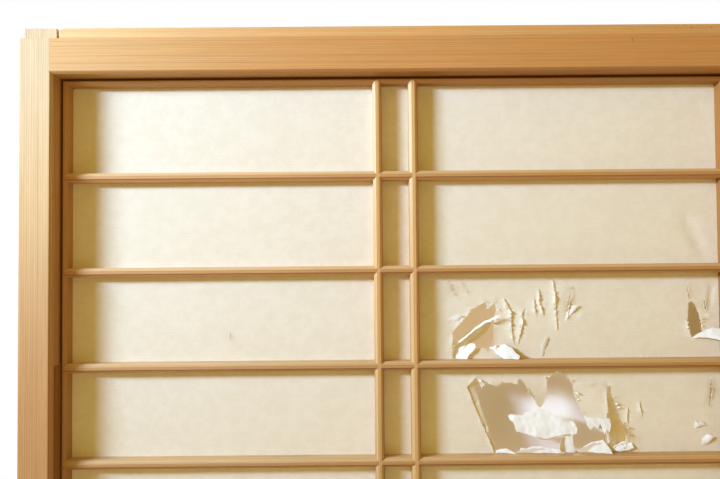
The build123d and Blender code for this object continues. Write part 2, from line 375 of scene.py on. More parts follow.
def straight_grain_group():
    """Growth rings, fibres and slow tone of straight softwood whose length runs along Z."""
    group, net, given, result = new_group(
        "Straight grain",
        [
            ("Vector", "NodeSocketVector", None),
            ("Ring pitch", "NodeSocketFloat", 0.0017),
            ("Pith X", "NodeSocketFloat", 0.2),
            ("Pith Y", "NodeSocketFloat", 0.03),
            ("Sway", "NodeSocketFloat", 0.003),
        ],
        [("Ring", "NodeSocketFloat"), ("Fibre", "NodeSocketFloat"), ("Tone", "NodeSocketFloat")],
    )
    place = given["Vector"]
    slow = net.noise(place, (7.0, 7.0, 2.4), 2.0)
    sway = net.math("MULTIPLY", net.math("SUBTRACT", slow, 0.5), given["Sway"])
    x, y, z = net.split(place)
    across = net.math("SUBTRACT", net.math("ADD", x, sway), given["Pith X"])
    deep = net.math("SUBTRACT", y, given["Pith Y"])
    radius = net.distance(across, deep)
    uneven = net.node("ShaderNodeTexNoise", noise_dimensions="1D")
    net.feed(uneven.inputs["W"], net.math("MULTIPLY", radius, 150.0))
    rings = net.math("ADD", net.math("DIVIDE", radius, given["Ring pitch"]), uneven.outputs[0])
    turn = net.math("FRACT", rings)
    dark = net.math("MULTIPLY", net.step(turn, 0.3, 0.9), net.step(turn, 0.9, 1.0, 1.0, 0.0))
    net.feed(result["Ring"], dark)
    coarse = net.noise(place, (1100.0, 1100.0, 16.0), 3.0, 0.6)
    fine = net.noise(place, (3600.0, 3600.0, 60.0), 2.0, 0.6)
    both = net.math("ADD", net.math("MULTIPLY", coarse, 0.6), net.math("MULTIPLY", fine, 0.4))
    net.feed(result["Fibre"], both)
    net.feed(result["Tone"], net.noise(place, (16.0, 16.0, 3.0), 2.0))
    return group


def worn_edge_group():
    """Rounded normals at the arrises and a mask of where hands have rubbed them."""
    group, net, given, result = new_group(
        "Worn edge",
        [("Radius", "NodeSocketFloat", 0.0004), ("Vector", "NodeSocketVector", None)],
        [("Edge", "NodeSocketFloat"), ("Normal", "NodeSocketVector")],
    )
    bevel = net.node("ShaderNodeBevel", samples=6)
    net.feed(bevel.inputs["Radius"], given["Radius"])
    flat = net.node("ShaderNodeNewGeometry").outputs["True Normal"]
    alike = net.vector("DOT_PRODUCT", bevel.outputs[0], flat)
    turned = net.step(alike, 0.995, 0.86)
    patchy = net.step(net.noise(given["Vector"], 160.0, 3.0), 0.35, 0.65, 0.35, 1.0)
    net.feed(result["Edge"], net.math("MULTIPLY", turned, patchy))
    net.feed(result["Normal"], bevel.outputs[0])
    return group


def specks_group():
    """Small scattered specks, as a mask."""
    group, net, given, result = new_group(
        "Specks",
        [
            ("Vector", "NodeSocketVector", None),
            ("Spacing", "NodeSocketFloat", 0.01),
            ("Size", "NodeSocketFloat", 0.1),
            ("Share", "NodeSocketFloat", 0.3),
        ],
        [("Mask", "NodeSocketFloat")],
    )
    cells = net.node("ShaderNodeTexVoronoi")
    net.feed(cells.inputs["Vector"], given["Vector"])
    net.feed(cells.inputs["Scale"], net.math("DIVIDE", 1.0, given["Spacing"]))
    spot = net.step(cells.outputs["Distance"], given["Size"], 0.0)
    chosen = net.math("LESS_THAN", net.split(cells.outputs["Color"])[0], given["Share"])
    net.feed(result["Mask"], net.math("MULTIPLY", spot, chosen))
    return group


def washi_group():
    """Long fibres, cloudy thickness and faint laid lines of handmade paper in the XZ plane."""
    group, net, given, result = new_group(
        "Washi",
        [("Vector", "NodeSocketVector", None)],
        [
            ("Fibre", "NodeSocketFloat"), ("Cloud", "NodeSocketFloat"),
            ("Laid", "NodeSocketFloat"), ("Height", "NodeSocketFloat"),
        ],
    )
    place = given["Vector"]
    threads = 0.0
    for turn, (scale, seed) in enumerate([(210.0, 3.1), (260.0, 7.7), (170.0, 12.3)]):
        shifted = net.vector("ADD", place, (seed, seed * 0.7, -seed))
        strand = net.noise(shifted, scale, 1.5, 0.4)
        near = net.math("ABSOLUTE", net.math("SUBTRACT", strand, 0.5))
        line = net.step(near, 0.012, 0.0)
        gate = net.step(net.noise(shifted, scale * 0.3, 1.0), 0.5, 0.62)
        threads = net.math("ADD", threads, net.math("MULTIPLY", line, gate))
    threads = net.math("MINIMUM", threads, 1.0)
    net.feed(result["Fibre"], threads)
    cloud = net.noise(place, 120.0, 5.0, 0.72)
    net.feed(result["Cloud"], cloud)
    x, y, z = net.split(place)
    upright = net.math("SINE", net.math("MULTIPLY", x, 2 * math.pi / (2.1 * MM)))
    upright = net.math("MULTIPLY", upright, net.noise(place, (90.0, 90.0, 18.0), 2.0))
    level = net.math("SINE", net.math("MULTIPLY", z, 2 * math.pi / (2.9 * MM)))
    level = net.math("MULTIPLY", level, net.noise(place, (18.0, 90.0, 90.0), 2.0))
    laid = net.math("MULTIPLY", net.math("ADD", upright, level), 0.6)
    net.feed(result["Laid"], laid)
    grain = net.noise(place, 900.0, 2.0, 0.6)
    height = net.math("ADD", net.math("MULTIPLY", threads, 0.5), net.math("MULTIPLY", grain, 0.5))
    height = net.math("ADD", height, net.math("MULTIPLY", laid, 0.12))
    net.feed(result["Height"], height)
    return group


def new_material(name):
    """An empty material with its output. Returns it, its net and the output node."""
    material = bpy.data.materials.new(name)
    material.use_nodes = True
    material.node_tree.nodes.clear()
    net = Net(material.node_tree)
    return material, net, net.node("ShaderNodeOutputMaterial")


def placed_group(net, group, inputs):
    """A node of a group, with its inputs fed by name."""
    made = net.node("ShaderNodeGroup", node_tree=group)
    for name, value in inputs.items():
        net.feed(made.inputs[name], value)
    return made


def specks(net, groups, place, spacing, size, share):
    """The mask of scattered specks for one surface."""
    inputs = {"Vector": place, "Spacing": spacing, "Size": size, "Share": share}
    return placed_group(net, groups["specks"], inputs).outputs[0]


def tinted(net, mask, colour, tint):
    """The colour with a tint laid over it where the mask is 1."""
    return net.mix(mask, colour, net.mix(1.0, colour, tint, "MULTIPLY"))


WoodCut = namedtuple("WoodCut", "pith_across pith_deep pitch_factor tone")


def wood_cut(number):
    """How one stick was cut from the log: where the pith lay, how wide its rings are, and its tone."""
    spread = (number * 0.618034) % 1.0
    other = (number * 0.754878) % 1.0
    side = 1 if number % 2 else -1
    return WoodCut(side * (0.09 + 0.14 * spread), 0.05 * (other - 0.5), 0.85 + 0.5 * other, spread - 0.5)


def grain_place(net, place, node_name, along, number):
    """Object coordinates centred on one stick and turned so that Z runs along it."""
    low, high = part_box(node_name)
    middle = (Vector(low) + Vector(high)) / 2
    turned = net.node("ShaderNodeMapping", vector_type="POINT")
    net.feed(turned.inputs["Vector"], net.vector("SUBTRACT", place, tuple(middle)))
    if along == "X":
        turned.inputs["Rotation"].default_value = (0.0, math.radians(90), 0.0)
    turned.inputs["Location"].default_value = (0.0, 0.0, 3.7 * number)
    return turned.outputs[0]


def grain_colour(net, grain, cut, z):
    """Rings, fibres and slow tone, with painted shade that makes the wood a little darker towards the foot of
    the leaf.
    """
    wood = bpy.context.scene.shoji_wood
    ring = net.math("MULTIPLY", grain.outputs["Ring"], 0.48)
    colour = net.mix(ring, tuple(wood.early_wood), tuple(wood.late_wood))
    streak = net.step(grain.outputs["Fibre"], 0.25, 0.75, 0.88, 1.09)
    tone = net.step(grain.outputs["Tone"], 0.25, 0.75, 0.95 + 0.05 * cut.tone, 1.04 + 0.05 * cut.tone)
    shade = net.math("MULTIPLY", streak, tone)
    # Painted shade: the lamp's light falling off towards the foot of the leaf
    shade = net.math("MULTIPLY", shade, net.step(z, *PAINTED_FOOT_SHADE_HEIGHTS, 0.87, 1.0))
    grey = net.node("ShaderNodeCombineColor")
    for socket in grey.inputs:
        net.feed(socket, shade)
    return net.mix(1.0, colour, grey.outputs[0], "MULTIPLY")


def on_tongue(net, z):
    """A mask for what stands above the shoulder of the top rail."""
    return net.step(z, TONGUE_FOOT, TONGUE_FOOT + 0.2 * MM)


def bar_with_painted_light(net, node_name, colour, x, z):
    """A bar's wood with its tint, a painted highlight on the bevel that faces the lamp and a painted shadow
    line along the arris turned away from it.
    """
    low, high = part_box(node_name)
    if node_name in LEVEL_BARS:
        upper, lower = high[2] - BAR_BEVEL, low[2] + BAR_BEVEL
        colour = net.mix(1.0, colour, LEVEL_TINT, "MULTIPLY")
        # Painted highlight on the upper bevel, which faces the lamp
        colour = tinted(net, net.step(z, upper - 0.3 * MM, upper + 0.2 * MM), colour, PAINTED_UPPER_BEVEL_HIGHLIGHT)
        # Painted shade: a dark line along the lower arris, turned away from the lamp
        line = net.math("MULTIPLY", net.step(z, lower - 1.3 * MM, lower - 0.5 * MM),
                        net.step(z, lower + 0.5 * MM, lower - 0.1 * MM))
        return tinted(net, line, colour, PAINTED_ARRIS_SHADE)
    # Painted highlight on the left bevel, which faces the lamp, high up the leaf
    left = low[0] + BAR_BEVEL
    pale = net.step(x, left + 0.3 * MM, left - 0.2 * MM)
    colour = tinted(net, net.math("MULTIPLY", pale, net.step(z, *BEVEL_HIGHLIGHT_HEIGHTS)), colour, PAINTED_LEFT_BEVEL_HIGHLIGHT)
    # Painted shade: a dark line along the right arris, on the side away from the lamp
    return tinted(net, net.step(x, high[0] - 1.0 * MM, high[0] - 0.5 * MM), colour, PAINTED_ARRIS_SHADE)


def stick_with_painted_light(net, node_name, colour, x, y, z):
    """The wood with painted highlights and painted shade on single sticks and faces, and the top rail's own
    tints.
    """
    if node_name in BARS:
        colour = bar_with_painted_light(net, node_name, colour, x, z)
    # Painted highlight: the lit front face, paler up the stile towards its head, and on the horn above the
    # shoulder
    if node_name in PAINTED_FACE_HIGHLIGHTS:
        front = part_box(node_name)[0][1]
        face = net.math("MAXIMUM", net.step(y, front + 3 * MM, front + 1.5 * MM), on_tongue(net, z))
        if node_name in STILES:
            face = net.math("MULTIPLY", face, net.step(z, *STILE_HIGHLIGHT_HEIGHTS))
            head = net.math("MULTIPLY", face, net.step(z, *STILE_HEAD_HIGHLIGHT_HEIGHTS))
            colour = tinted(net, head, colour, PAINTED_STILE_HEAD_HIGHLIGHT)
        colour = tinted(net, face, colour, PAINTED_FACE_HIGHLIGHTS[node_name])
    if node_name == "top_rail":
        colour = net.mix(1.0, colour, AMBER_RAIL, "MULTIPLY")
        colour = tinted(net, on_tongue(net, z), colour, PALE_TONGUE)
        # Painted highlight: the rail paler towards its left end, nearest the lamp
        colour = tinted(net, net.step(x, *RAIL_END_HIGHLIGHT_PLACES), colour, PAINTED_RAIL_END_HIGHLIGHT)
    return colour


def wood_with_painted_shade(net, node_name, colour, slow_tone, x, z):
    """The wood with painted shade: darker towards the right, where the lamp's light falls off, and darker in
    the recess round the lattice.
    """
    wood = bpy.context.scene.shoji_wood
    # Painted shade of the light's falloff from left to right, varied a little by the grain's slow tone
    age = net.step(x, LEAF_LOW.x, LEAF_HIGH.x)
    age = net.math("MULTIPLY", age, net.step(slow_tone, 0.1, 0.9, 0.75, 1.0))
    colour = tinted(net, age, colour, tuple(wood.painted_falloff_tint))
    if node_name not in BARS:
        # Painted shade in the recess round the lattice
        recess_shade = net.math("MULTIPLY", in_opening(net, x, z), 0.8)
        colour = tinted(net, recess_shade, colour, tuple(wood.painted_recess_shade))
    return colour


def marked_wood(net, node_name, colour, place, groups):
    """The wood with its pits, the dark line of the frame's joints and the marks on the tongue."""
    x, y, z = net.split(place)
    pits = specks(net, groups, place, 4.5 * MM, 0.16, 0.06)
    colour = net.mix(net.math("MULTIPLY", pits, 0.5), colour, PIT)
    if node_name in RAILS:
        away = net.math("ABSOLUTE", net.math("SUBTRACT", net.math("ABSOLUTE", x), JOINT_X))
        colour = net.mix(net.step(away, 0.5 * MM, 0.0, 0.0, 0.75), colour, JOINT_LINE)
    if node_name == "top_rail":
        colour = net.mix(tongue_pits(net, place, groups), colour, TONGUE_PIT)
        dent = soft_spot(net, x, z, NICK_PLACE, NICK_REACH)
        colour = net.mix(net.math("MULTIPLY", dent, 0.75), colour, NICK)
    return colour


def wood_material(node_name, along, number, groups):
    """Bare softwood for one stick, with its grain along the stick."""
    wood = bpy.context.scene.shoji_wood
    material, net, output = new_material(f"softwood_{node_name}")
    cut = wood_cut(number)
    place = net.node("ShaderNodeTexCoord").outputs["Object"]
    x, y, z = net.split(place)
    grain = placed_group(net, groups["grain"], {
        "Vector": grain_place(net, place, node_name, along, number),
        "Ring pitch": wood.ring_pitch * cut.pitch_factor,
        "Pith X": cut.pith_across,
        "Pith Y": cut.pith_deep,
    })
    edge = placed_group(net, groups["edge"], {"Vector": place, "Radius": wood.worn_radius})
    colour = grain_colour(net, grain, cut, z)
    colour = stick_with_painted_light(net, node_name, colour, x, y, z)
    colour = wood_with_painted_shade(net, node_name, colour, grain.outputs["Tone"], x, z)
    colour = net.mix(net.math("MULTIPLY", edge.outputs["Edge"], 0.3), colour, WORN_ARRIS)
    colour = marked_wood(net, node_name, colour, place, groups)

    relief = net.math("ADD", net.math("MULTIPLY", grain.outputs["Ring"], 0.6),
                      net.math("MULTIPLY", grain.outputs["Fibre"], 0.7))
    bump = net.node("ShaderNodeBump")
    bump.inputs["Strength"].default_value = 0.35
    bump.inputs["Distance"].default_value = 0.12 * MM
    net.feed(bump.inputs["Height"], relief)
    net.feed(bump.inputs["Normal"], edge.outputs["Normal"])
    shader = net.node("ShaderNodeBsdfPrincipled")
    shader.inputs["Specular IOR Level"].default_value = 0.5
    net.feed(shader.inputs["Base Color"], colour)
    net.feed(shader.inputs["Roughness"], net.step(grain.outputs["Fibre"], 0.3, 0.7, 0.68, 0.56))
    net.feed(shader.inputs["Normal"], bump.outputs[0])
    net.feed(output.inputs["Surface"], shader.outputs[0])
    return material


def in_opening(net, x, z):
    """A mask for the frame's inner walls and the linings."""
    rims = (FRAME_REVEAL + 0.5 * MM, FRAME_REVEAL)
    wide = net.math("SUBTRACT", net.math("ABSOLUTE", x), OPENING_RIGHT)
    from_middle = net.math("ABSOLUTE", net.math("SUBTRACT", z, OPENING_MIDDLE))
    tall = net.math("SUBTRACT", from_middle, OPENING_HALF)
    return net.math("MULTIPLY", net.step(wide, *rims), net.step(tall, *rims))


def soft_spot(net, x, z, centre, reach):
    """A mask for a soft patch round a place in the XZ plane."""
    across = net.math("DIVIDE", net.math("SUBTRACT", x, centre[0]), reach[0])
    up = net.math("DIVIDE", net.math("SUBTRACT", z, centre[1]), reach[1])
    return net.step(net.distance(across, up), 1.0, 0.3)


def tongue_pits(net, place, groups):
    """Dark pits on the rough upper edge of the tongue, near its right end."""
    x, y, z = net.split(place)
    right = net.step(x, 0.225, 0.29)
    upper = net.step(z, LEAF_HIGH.z - 7 * MM, LEAF_HIGH.z - 1.5 * MM)
    pits = specks(net, groups, place, 2.6 * MM, 0.42, 0.5)
    return net.math("MULTIPLY", net.math("MULTIPLY", right, upper), pits)


def washi_material(groups):
    """Matt washi: aged on its face and warmed towards the right by painted shade, whiter where it is torn
    open, partly as fresh paper and partly as painted highlight on flaps that face the lamp, and a little
    translucent.
    """
    paper = bpy.context.scene.shoji_paper
    material, net, output = new_material("washi")
    place = net.node("ShaderNodeTexCoord").outputs["Object"]
    washi = placed_group(net, groups["washi"], {"Vector": place})
    cloud = net.step(washi.outputs["Cloud"], 0.4, 0.6, 0.0, 0.26)
    colour = net.mix(cloud, tuple(paper.aged), THICK_CLOUD)
    colour = net.mix(net.math("MULTIPLY", washi.outputs["Fibre"], 0.35), colour, PALE_FIBRE)
    mottle = net.step(washi.outputs["Laid"], -0.5, 0.5, 0.0, 0.15)
    colour = net.mix(mottle, colour, LAID_LINE)
    x, y, z = net.split(place)
    # Painted shade: the paper warmer towards the right, where less of the lamp's light falls
    colour = tinted(net, net.step(x, LEAF_LOW.x, LEAF_HIGH.x, 0.0, 0.5), colour, PAPER_FALLOFF_TINT)
    dots = specks(net, groups, place, 7 * MM, 0.11, 0.22)
    colour = net.mix(net.math("MULTIPLY", dots, 0.5), colour, PAPER_SPECK)
    # Whiter where torn: partly fresh paper, partly painted highlight on flaps that face the lamp
    bared = net.node("ShaderNodeAttribute", attribute_name="bared").outputs["Fac"]
    colour = net.mix(bared, colour, tuple(paper.fresh))
    bump = net.node("ShaderNodeBump")
    bump.inputs["Strength"].default_value = 0.45
    bump.inputs["Distance"].default_value = 0.08 * MM
    net.feed(bump.inputs["Height"], washi.outputs["Height"])
    shader = net.node("ShaderNodeBsdfPrincipled")
    shader.inputs["Roughness"].default_value = 0.92
    shader.inputs["Specular IOR Level"].default_value = 0.15
    net.feed(shader.inputs["Base Color"], colour)
    net.feed(shader.inputs["Normal"], bump.outputs[0])
    through = net.node("ShaderNodeBsdfTranslucent")
    net.feed(through.inputs["Color"], colour)
    net.feed(through.inputs["Normal"], bump.outputs[0])
    both = net.node("ShaderNodeMixShader")
    both.inputs[0].default_value = 0.12
    net.feed(both.inputs[1], shader.outputs[0])
    net.feed(both.inputs[2], through.outputs[0])
    net.feed(output.inputs["Surface"], both.outputs[0])
    return material


def dress(names, along, first_number):
    """Give each stick its own wood."""
    groups = shared_groups()
    for number, name in enumerate(names, first_number):
        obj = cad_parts[name]
        material = wood_material(name, along, number, groups)
        obj.data.materials.clear()
        obj.data.materials.append(material)


def shared_groups():
    """The shader groups that several materials use, made once."""
    makers = {
        "grain": ("Straight grain", straight_grain_group),
        "edge": ("Worn edge", worn_edge_group),
        "specks": ("Specks", specks_group),
        "washi": ("Washi", washi_group),
    }
    return {key: bpy.data.node_groups.get(name) or make() for key, (name, make) in makers.items()}


# Tears, in millimetres across from the cell's left and down from its top

Tear = namedtuple("Tear", "row outline")
Crack = namedtuple("Crack", "row points width left_lip right_lip")
Crease = namedtuple("Crease", "row points width lift")
Bend = namedtuple("Bend", "row outline hinge_down reach forward sideways")
# A flap's bare share whitens it; it is set high on flaps that face the lamp and low on shaded ones, so partly
# painted highlight
Flap = namedtuple("Flap", "row outline hinge turn lift slope bend bare", defaults=(1.0,))

TEARS = [
    Tear(3, [
        (31.3, 78.9), (30.9, 64.8), (32.0, 54.1), (38.2, 46.7), (45.8, 39.3), (49.1, 33.3), (56.6, 29.7),
        (62.6, 26.0), (64.1, 32.9), (67.4, 31.3), (71.2, 26.4), (72.8, 33.5), (70.8, 41.4), (69.8, 55.0),
        (71.1, 69.0), (72.0, 73.6), (66.9, 70.3), (59.4, 69.2), (53.5, 70.6), (48.5, 74.3), (45.0, 78.9),
    ]),
    Tear(3, [
        (252.5, 28.9), (251.5, 49.2), (254.5, 60.4), (256.5, 61.2), (265.0, 57.4), (264.2, 48.0),
        (262.2, 38.8), (258.5, 29.6), (256.0, 27.0),
    ]),
    Tear(4, [
        (53.5, 8.4), (44.3, 17.4), (49.3, 30.8), (67.7, 74.9), (69.4, 80.5), (74.4, 77.7), (79.8, 76.0),
        (86.2, 78.5), (97.9, 76.0), (112.9, 74.9), (126.3, 77.7), (146.4, 77.7), (153.1, 74.4),
        (161.5, 70.5), (170.7, 70.5), (174.0, 73.5), (174.0, 55.1), (166.5, 58.5), (161.5, 53.4),
        (154.8, 55.1), (152.3, 45.9), (150.6, 40.9), (146.8, 33.3), (144.4, 25.0), (142.7, 15.8),
        (136.4, 6.9), (128.0, 3.4), (121.6, 8.9),
        (119.3, 11.6), (119.0, 21.6), (119.6, 28.3), (113.8, 39.2), (111.3, 36.7), (102.9, 23.3),
        (96.2, 11.6), (92.9, 9.9), (90.8, 15.9), (86.2, 14.3), (77.8, 13.8), (72.4, 17.6),
        (62.7, 13.9), (57.7, 18.6),
    ]),
    Tear(4, [
        (174.9, 16.3), (174.4, 31.7), (175.0, 55.1), (176.4, 73.2), (179.9, 74.4), (193.3, 69.8),
        (191.6, 59.3), (187.9, 50.1), (184.1, 40.0), (179.9, 27.5),
    ]),
]

CRACKS = [
    Crack(3, [(80.1, 23.4), (84.7, 32.1), (86.5, 36.4), (86.3, 48.0), (88.4, 65.3)], 0.9, -1.2, 2.6),
    Crack(3, [(99.7, 32.3), (96.6, 38.0), (97.4, 46.0), (94.4, 57.0), (92.6, 66.3)], 0.8, -0.9, 2.2),
    Crack(3, [(112.8, 15.1), (113.4, 26.0), (117.3, 39.9)], 1.0, -1.2, 2.2),
    Crack(3, [(108.2, 22.6), (108.7, 31.0), (110.2, 39.8)], 0.8, -0.8, 1.8),
    Crack(3, [(125.8, 5.4), (127.8, 18.5), (128.2, 34.0), (129.7, 53.0)], 0.8, -0.9, 2.2),
    Crack(3, [(144.0, 11.2), (141.0, 26.0), (137.5, 46.6)], 0.9, 2.0, -1.2),
    Crack(3, [(28.8, 5.5), (31.2, 13.0), (35.2, 21.9)], 0.8, 1.0, -0.9),
    Crack(3, [(42.0, 4.7), (43.2, 12.0), (46.1, 19.7)], 0.6, 0.8, -0.6),
    Crack(3, [(252.6, 11.2), (252.9, 18.0), (253.4, 25.5)], 0.8, 1.2, -0.9),
    Crack(3, [(268.1, 24.7), (268.6, 32.0), (268.1, 39.2)], 0.8, 1.1, -0.8),
    Crack(4, [(205.0, 32.5), (205.8, 40.0), (208.2, 47.0)], 0.6, -0.8, 1.6),
    Crack(4, [(194.4, 38.2), (193.4, 45.0), (193.6, 53.0)], 0.6, -0.7, 1.4),
    Crack(4, [(272.8, 10.4), (272.2, 22.0), (270.2, 38.6)], 0.9, 1.3, -1.3),
    Crack(3, [(-175.9, 51.5), (-175.4, 55.5), (-176.3, 60.5)], 0.8, 0.9, -0.7),
]

CREASES = [
    Crease(3, [(147.8, 40.2), (158.0, 40.4), (169.4, 42.2)], 1.4, 0.9),
    Crease(3, [(268.1, 40.3), (275.0, 41.0), (283.0, 43.2)], 1.2, 0.8),
    Crease(3, [(279.3, 2.0), (275.2, 17.9), (272.0, 37.5)], 3.0, -1.0),
    Crease(3, [(73.0, 40.0), (82.0, 44.0), (88.0, 64.0)], 3.0, 0.6),
    Crease(3, [(100.0, 36.0), (103.0, 37.0)], 1.2, 0.8),
    Crease(3, [(114.0, 29.0), (121.0, 28.0)], 1.2, 0.8),
    Crease(4, [(146.0, 15.0), (158.0, 17.0), (168.0, 14.0)], 1.3, 0.7),
    Crease(4, [(273.0, 23.0), (281.0, 25.0)], 1.6, 0.8),
    Crease(2, [(250.0, 30.0), (262.0, 60.0), (274.0, 78.0)], 5.0, -1.1),
    Crease(1, [(262.0, 12.0), (271.0, 40.0)], 4.0, -0.5),
]

BENDS = [
    Bend(4, [(89, 7), (96, 11), (103, 23), (111, 37), (114, 40.5), (120.5, 28.5), (120, 18), (121, 7)],
         8.0, 32.0, -3.4, 0.14),
    Bend(4, [(140, 8), (143, 25), (146, 33), (150, 41), (151, 46), (154, 57), (161, 55), (166, 60),
             (174.5, 57), (174.7, 38), (174.7, 17), (175.5, 8)], 15.0, 44.0, 7.0, -0.05),
]

FLAPS = [
    Flap(3, [(31.8, 67.0), (44.3, 59.0), (52.7, 51.5), (61.0, 45.0), (69.4, 41.4), (72.6, 42.0), (67.7, 47.6),
             (64.0, 54.6), (60.0, 58.4), (54.0, 62.6), (46.0, 66.4), (33.0, 68.8)],
         (53.0, 55.0), 32, -0.8, (0.1, -0.5), (0.0, 0.04), 0.0),
    Flap(3, [(31.3, 65.6), (38.0, 62.4), (44.3, 57.8), (48.0, 54.8), (52.7, 49.6), (57.0, 46.8), (61.0, 43.8),
             (65.0, 42.4), (69.4, 39.6), (75.0, 37.4), (70.6, 40.8), (66.0, 43.8), (61.4, 45.4), (57.4, 48.8),
             (53.3, 51.2), (48.6, 56.4), (44.8, 59.5), (38.0, 64.3), (32.0, 67.2)],
         (53.0, 53.5), 32, -2.0, (-0.25, 0.35), (0.0, 0.06)),
    Flap(3, [(31.3, 78.9), (33.4, 71.5), (37.6, 66.9), (43.5, 64.8), (52.0, 64.9), (52.7, 67.6), (50.3, 71.0),
             (46.0, 75.3), (44.0, 78.9)],
         (40.0, 78.0), 0, -0.8, (-0.50, 0.34), (0.0, 0.006)),
    Flap(3, [(66.4, 69.4), (74.4, 66.9), (79.8, 65.6), (86.2, 68.9), (88.7, 73.1), (92.2, 75.6), (91.0, 78.8),
             (77.8, 78.8), (71.1, 73.8)],
         (80.0, 78.0), 0, -4.6, (-0.34, 0.22), (0.004, 0.008)),
    Flap(3, [(254.4, 61.6), (259.5, 57.9), (265.3, 54.9), (273.6, 51.7), (283.0, 53.0), (283.0, 64.6),
             (277.8, 63.9), (275.3, 62.2), (266.0, 60.6)],
         (254.4, 61.6), 0, -0.5, (-0.38, 0.30), (0.004, 0.012)),
    Flap(4, [(84.8, 47.7), (88.2, 45.9), (92.6, 46.6), (97.9, 46.7), (100.1, 44.6), (102.9, 43.4),
             (107.9, 40.7), (112.9, 39.9), (119.6, 41.4), (128.0, 45.9), (134.7, 50.9), (139.7, 51.8),
             (141.6, 50.4),
             (143.9, 51.4), (146.4, 56.8), (145.6, 61.8), (142.2, 62.8), (142.2, 68.5), (143.7, 78.8),
             (134.7, 78.8), (134.0, 70.2), (134.7, 63.8), (131.0, 63.3), (126.3, 65.1), (119.6, 67.3),
             (109.6, 66.0), (101.2, 63.5), (91.2, 61.1), (89.5, 53.4), (86.2, 51.1)],
         (138.0, 78.0), 0, -1.2, (-0.12, 0.04), (0.0004, 0.0032)),
    Flap(4, [(109.6, 65.2), (119.6, 66.4), (126.3, 64.4), (131.0, 62.6), (137.0, 61.0), (137.4, 63.6),
             (131.0, 66.0), (126.3, 67.4), (119.0, 69.0), (111.0, 68.0)],
         (124.0, 66.0), 0, 2.2, (-0.08, -0.6), (0.0, 0.0), 0.2),
    Flap(4, [(134.4, 63.0), (130.4, 68.4), (128.8, 74.6), (131.0, 78.8), (136.0, 78.8), (136.4, 70.0),
             (137.0, 64.0)],
         (136.0, 72.0), 0, 0.2, (0.45, 0.10), (0.0, 0.0), 0.3),
    Flap(4, [(151.6, 44.2), (156.0, 45.4), (161.5, 45.0), (168.2, 46.8), (173.4, 45.4), (173.9, 52.0),
             (171.0, 57.2), (169.0, 54.6), (166.8, 58.8), (164.5, 49.8), (161.8, 54.6), (158.4, 52.4),
             (154.6, 55.8), (152.8, 50.4)],
         (162.0, 46.0), 0, -7.4, (-0.10, 0.42), (0.0, 0.0)),
    Flap(4, [(151.0, 78.9), (153.1, 74.4), (161.5, 70.2), (170.7, 68.0), (174.0, 72.6), (177.0, 78.9)],
         (163.0, 79.0), 0, -2.0, (-0.30, 0.30), (0.0, 0.01), 0.6),
    Flap(4, [(69.0, 79.0), (74.4, 75.8), (79.8, 74.9), (86.2, 77.5), (89.0, 79.0)],
         (79.0, 79.0), 0, -0.9, (-0.25, 0.30), (0.0, 0.02)),
    Flap(4, [(92.0, 79.0), (94.5, 75.2), (99.0, 76.0), (104.0, 74.2), (113.0, 73.6), (122.0, 75.4),
             (130.0, 76.0), (134.0, 79.0)],
         (112.0, 79.0), 0, -0.8, (-0.10, 0.40), (0.0, 0.02)),
    Flap(4, [(53.5, 6.6), (43.9, 17.4), (48.9, 30.8), (67.3, 74.9), (69.0, 78.9), (72.4, 78.9), (69.4, 71.8),
             (59.0, 41.7), (55.2, 28.3), (52.7, 19.1), (57.0, 12.6)],
         (56.0, 46.9), 22.6, 1.3, (0.0, 0.0), (0.03, 0.0), 0.0),
    Flap(4, [(178.2, 75.6), (184.1, 72.2), (189.9, 69.8), (196.6, 70.6), (197.6, 74.4), (193.3, 76.9),
             (186.6, 77.6), (179.9, 77.2)],
         (188.0, 77.0), 14, -1.8, (-0.10, 0.30), (0.0, 0.05)),
    Flap(4, [(173.6, 16.0), (181.5, 26.0), (186.5, 39.0), (190.5, 50.0), (194.5, 60.0), (195.5, 71.5),
             (186.0, 76.4), (176.0, 76.4), (173.8, 55.0)],
         (173.6, 50.0), 0, 0.3, (0.34, -0.06), (0.0, 0.0), 0.0),
    Flap(3, [(26.6, 45.4), (30.0, 40.2), (36.8, 37.6), (40.8, 39.4), (36.2, 43.2), (31.0, 48.2)],
         (36.0, 40.0), 25, -0.9, (-0.08, -0.10), (0.0, 0.06)),
    Flap(3, [(136.2, 46.0), (139.0, 36.2), (143.5, 30.8), (149.0, 29.6), (145.5, 34.8), (142.0, 38.6)],
         (141.0, 40.0), 60, -1.0, (-0.06, 0.18), (0.0, 0.08)),
    Flap(3, [(114.0, 77.0), (115.4, 66.0), (118.6, 58.6), (120.6, 63.8), (119.8, 70.4), (117.0, 75.6)],
         (117.0, 70.0), 80, -0.9, (-0.05, -0.20), (0.0, 0.08)),
    Flap(4, [(262.3, 72.8), (262.6, 66.4), (267.0, 62.8), (272.6, 65.2), (269.0, 69.0), (266.5, 73.0)],
         (266.0, 68.0), 30, -1.2, (-0.10, 0.20), (0.0, 0.07)),
    Flap(4, [(255.4, 58.4), (256.2, 50.4), (258.6, 52.8), (262.6, 51.2), (265.8, 54.8), (260.4, 55.4)],
         (259.0, 54.0), 10, -0.9, (-0.10, 0.15), (0.0, 0.07)),
]

# How far a torn edge lifts the paper, and how finely the paper is drawn

LIP_REACH = 2.6 * MM
TEAR_ZONE = 9 * MM
OUTLINE_STEP = 0.9 * MM
FINE_STEP_SHARE = 3
FLAP_STEP = 1.3 * MM
EDGE_STEP = 6 * MM


def cell_top(row):
    """The height of a cell's upper side."""
    if row == 1:
        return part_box("lining_top")[0][2]
    return BAR_SPANS[row - 2][0]


def in_leaf(row, point):
    """A point given in millimetres in the right-hand cell of a row, as X and Z in metres."""
    across, down = point
    return Vector((CELL_LEFT + across * MM, cell_top(row) - down * MM))


def placed(row, points):
    """The points of a line or outline, as in_leaf gives them."""
    return [in_leaf(row, point) for point in points]


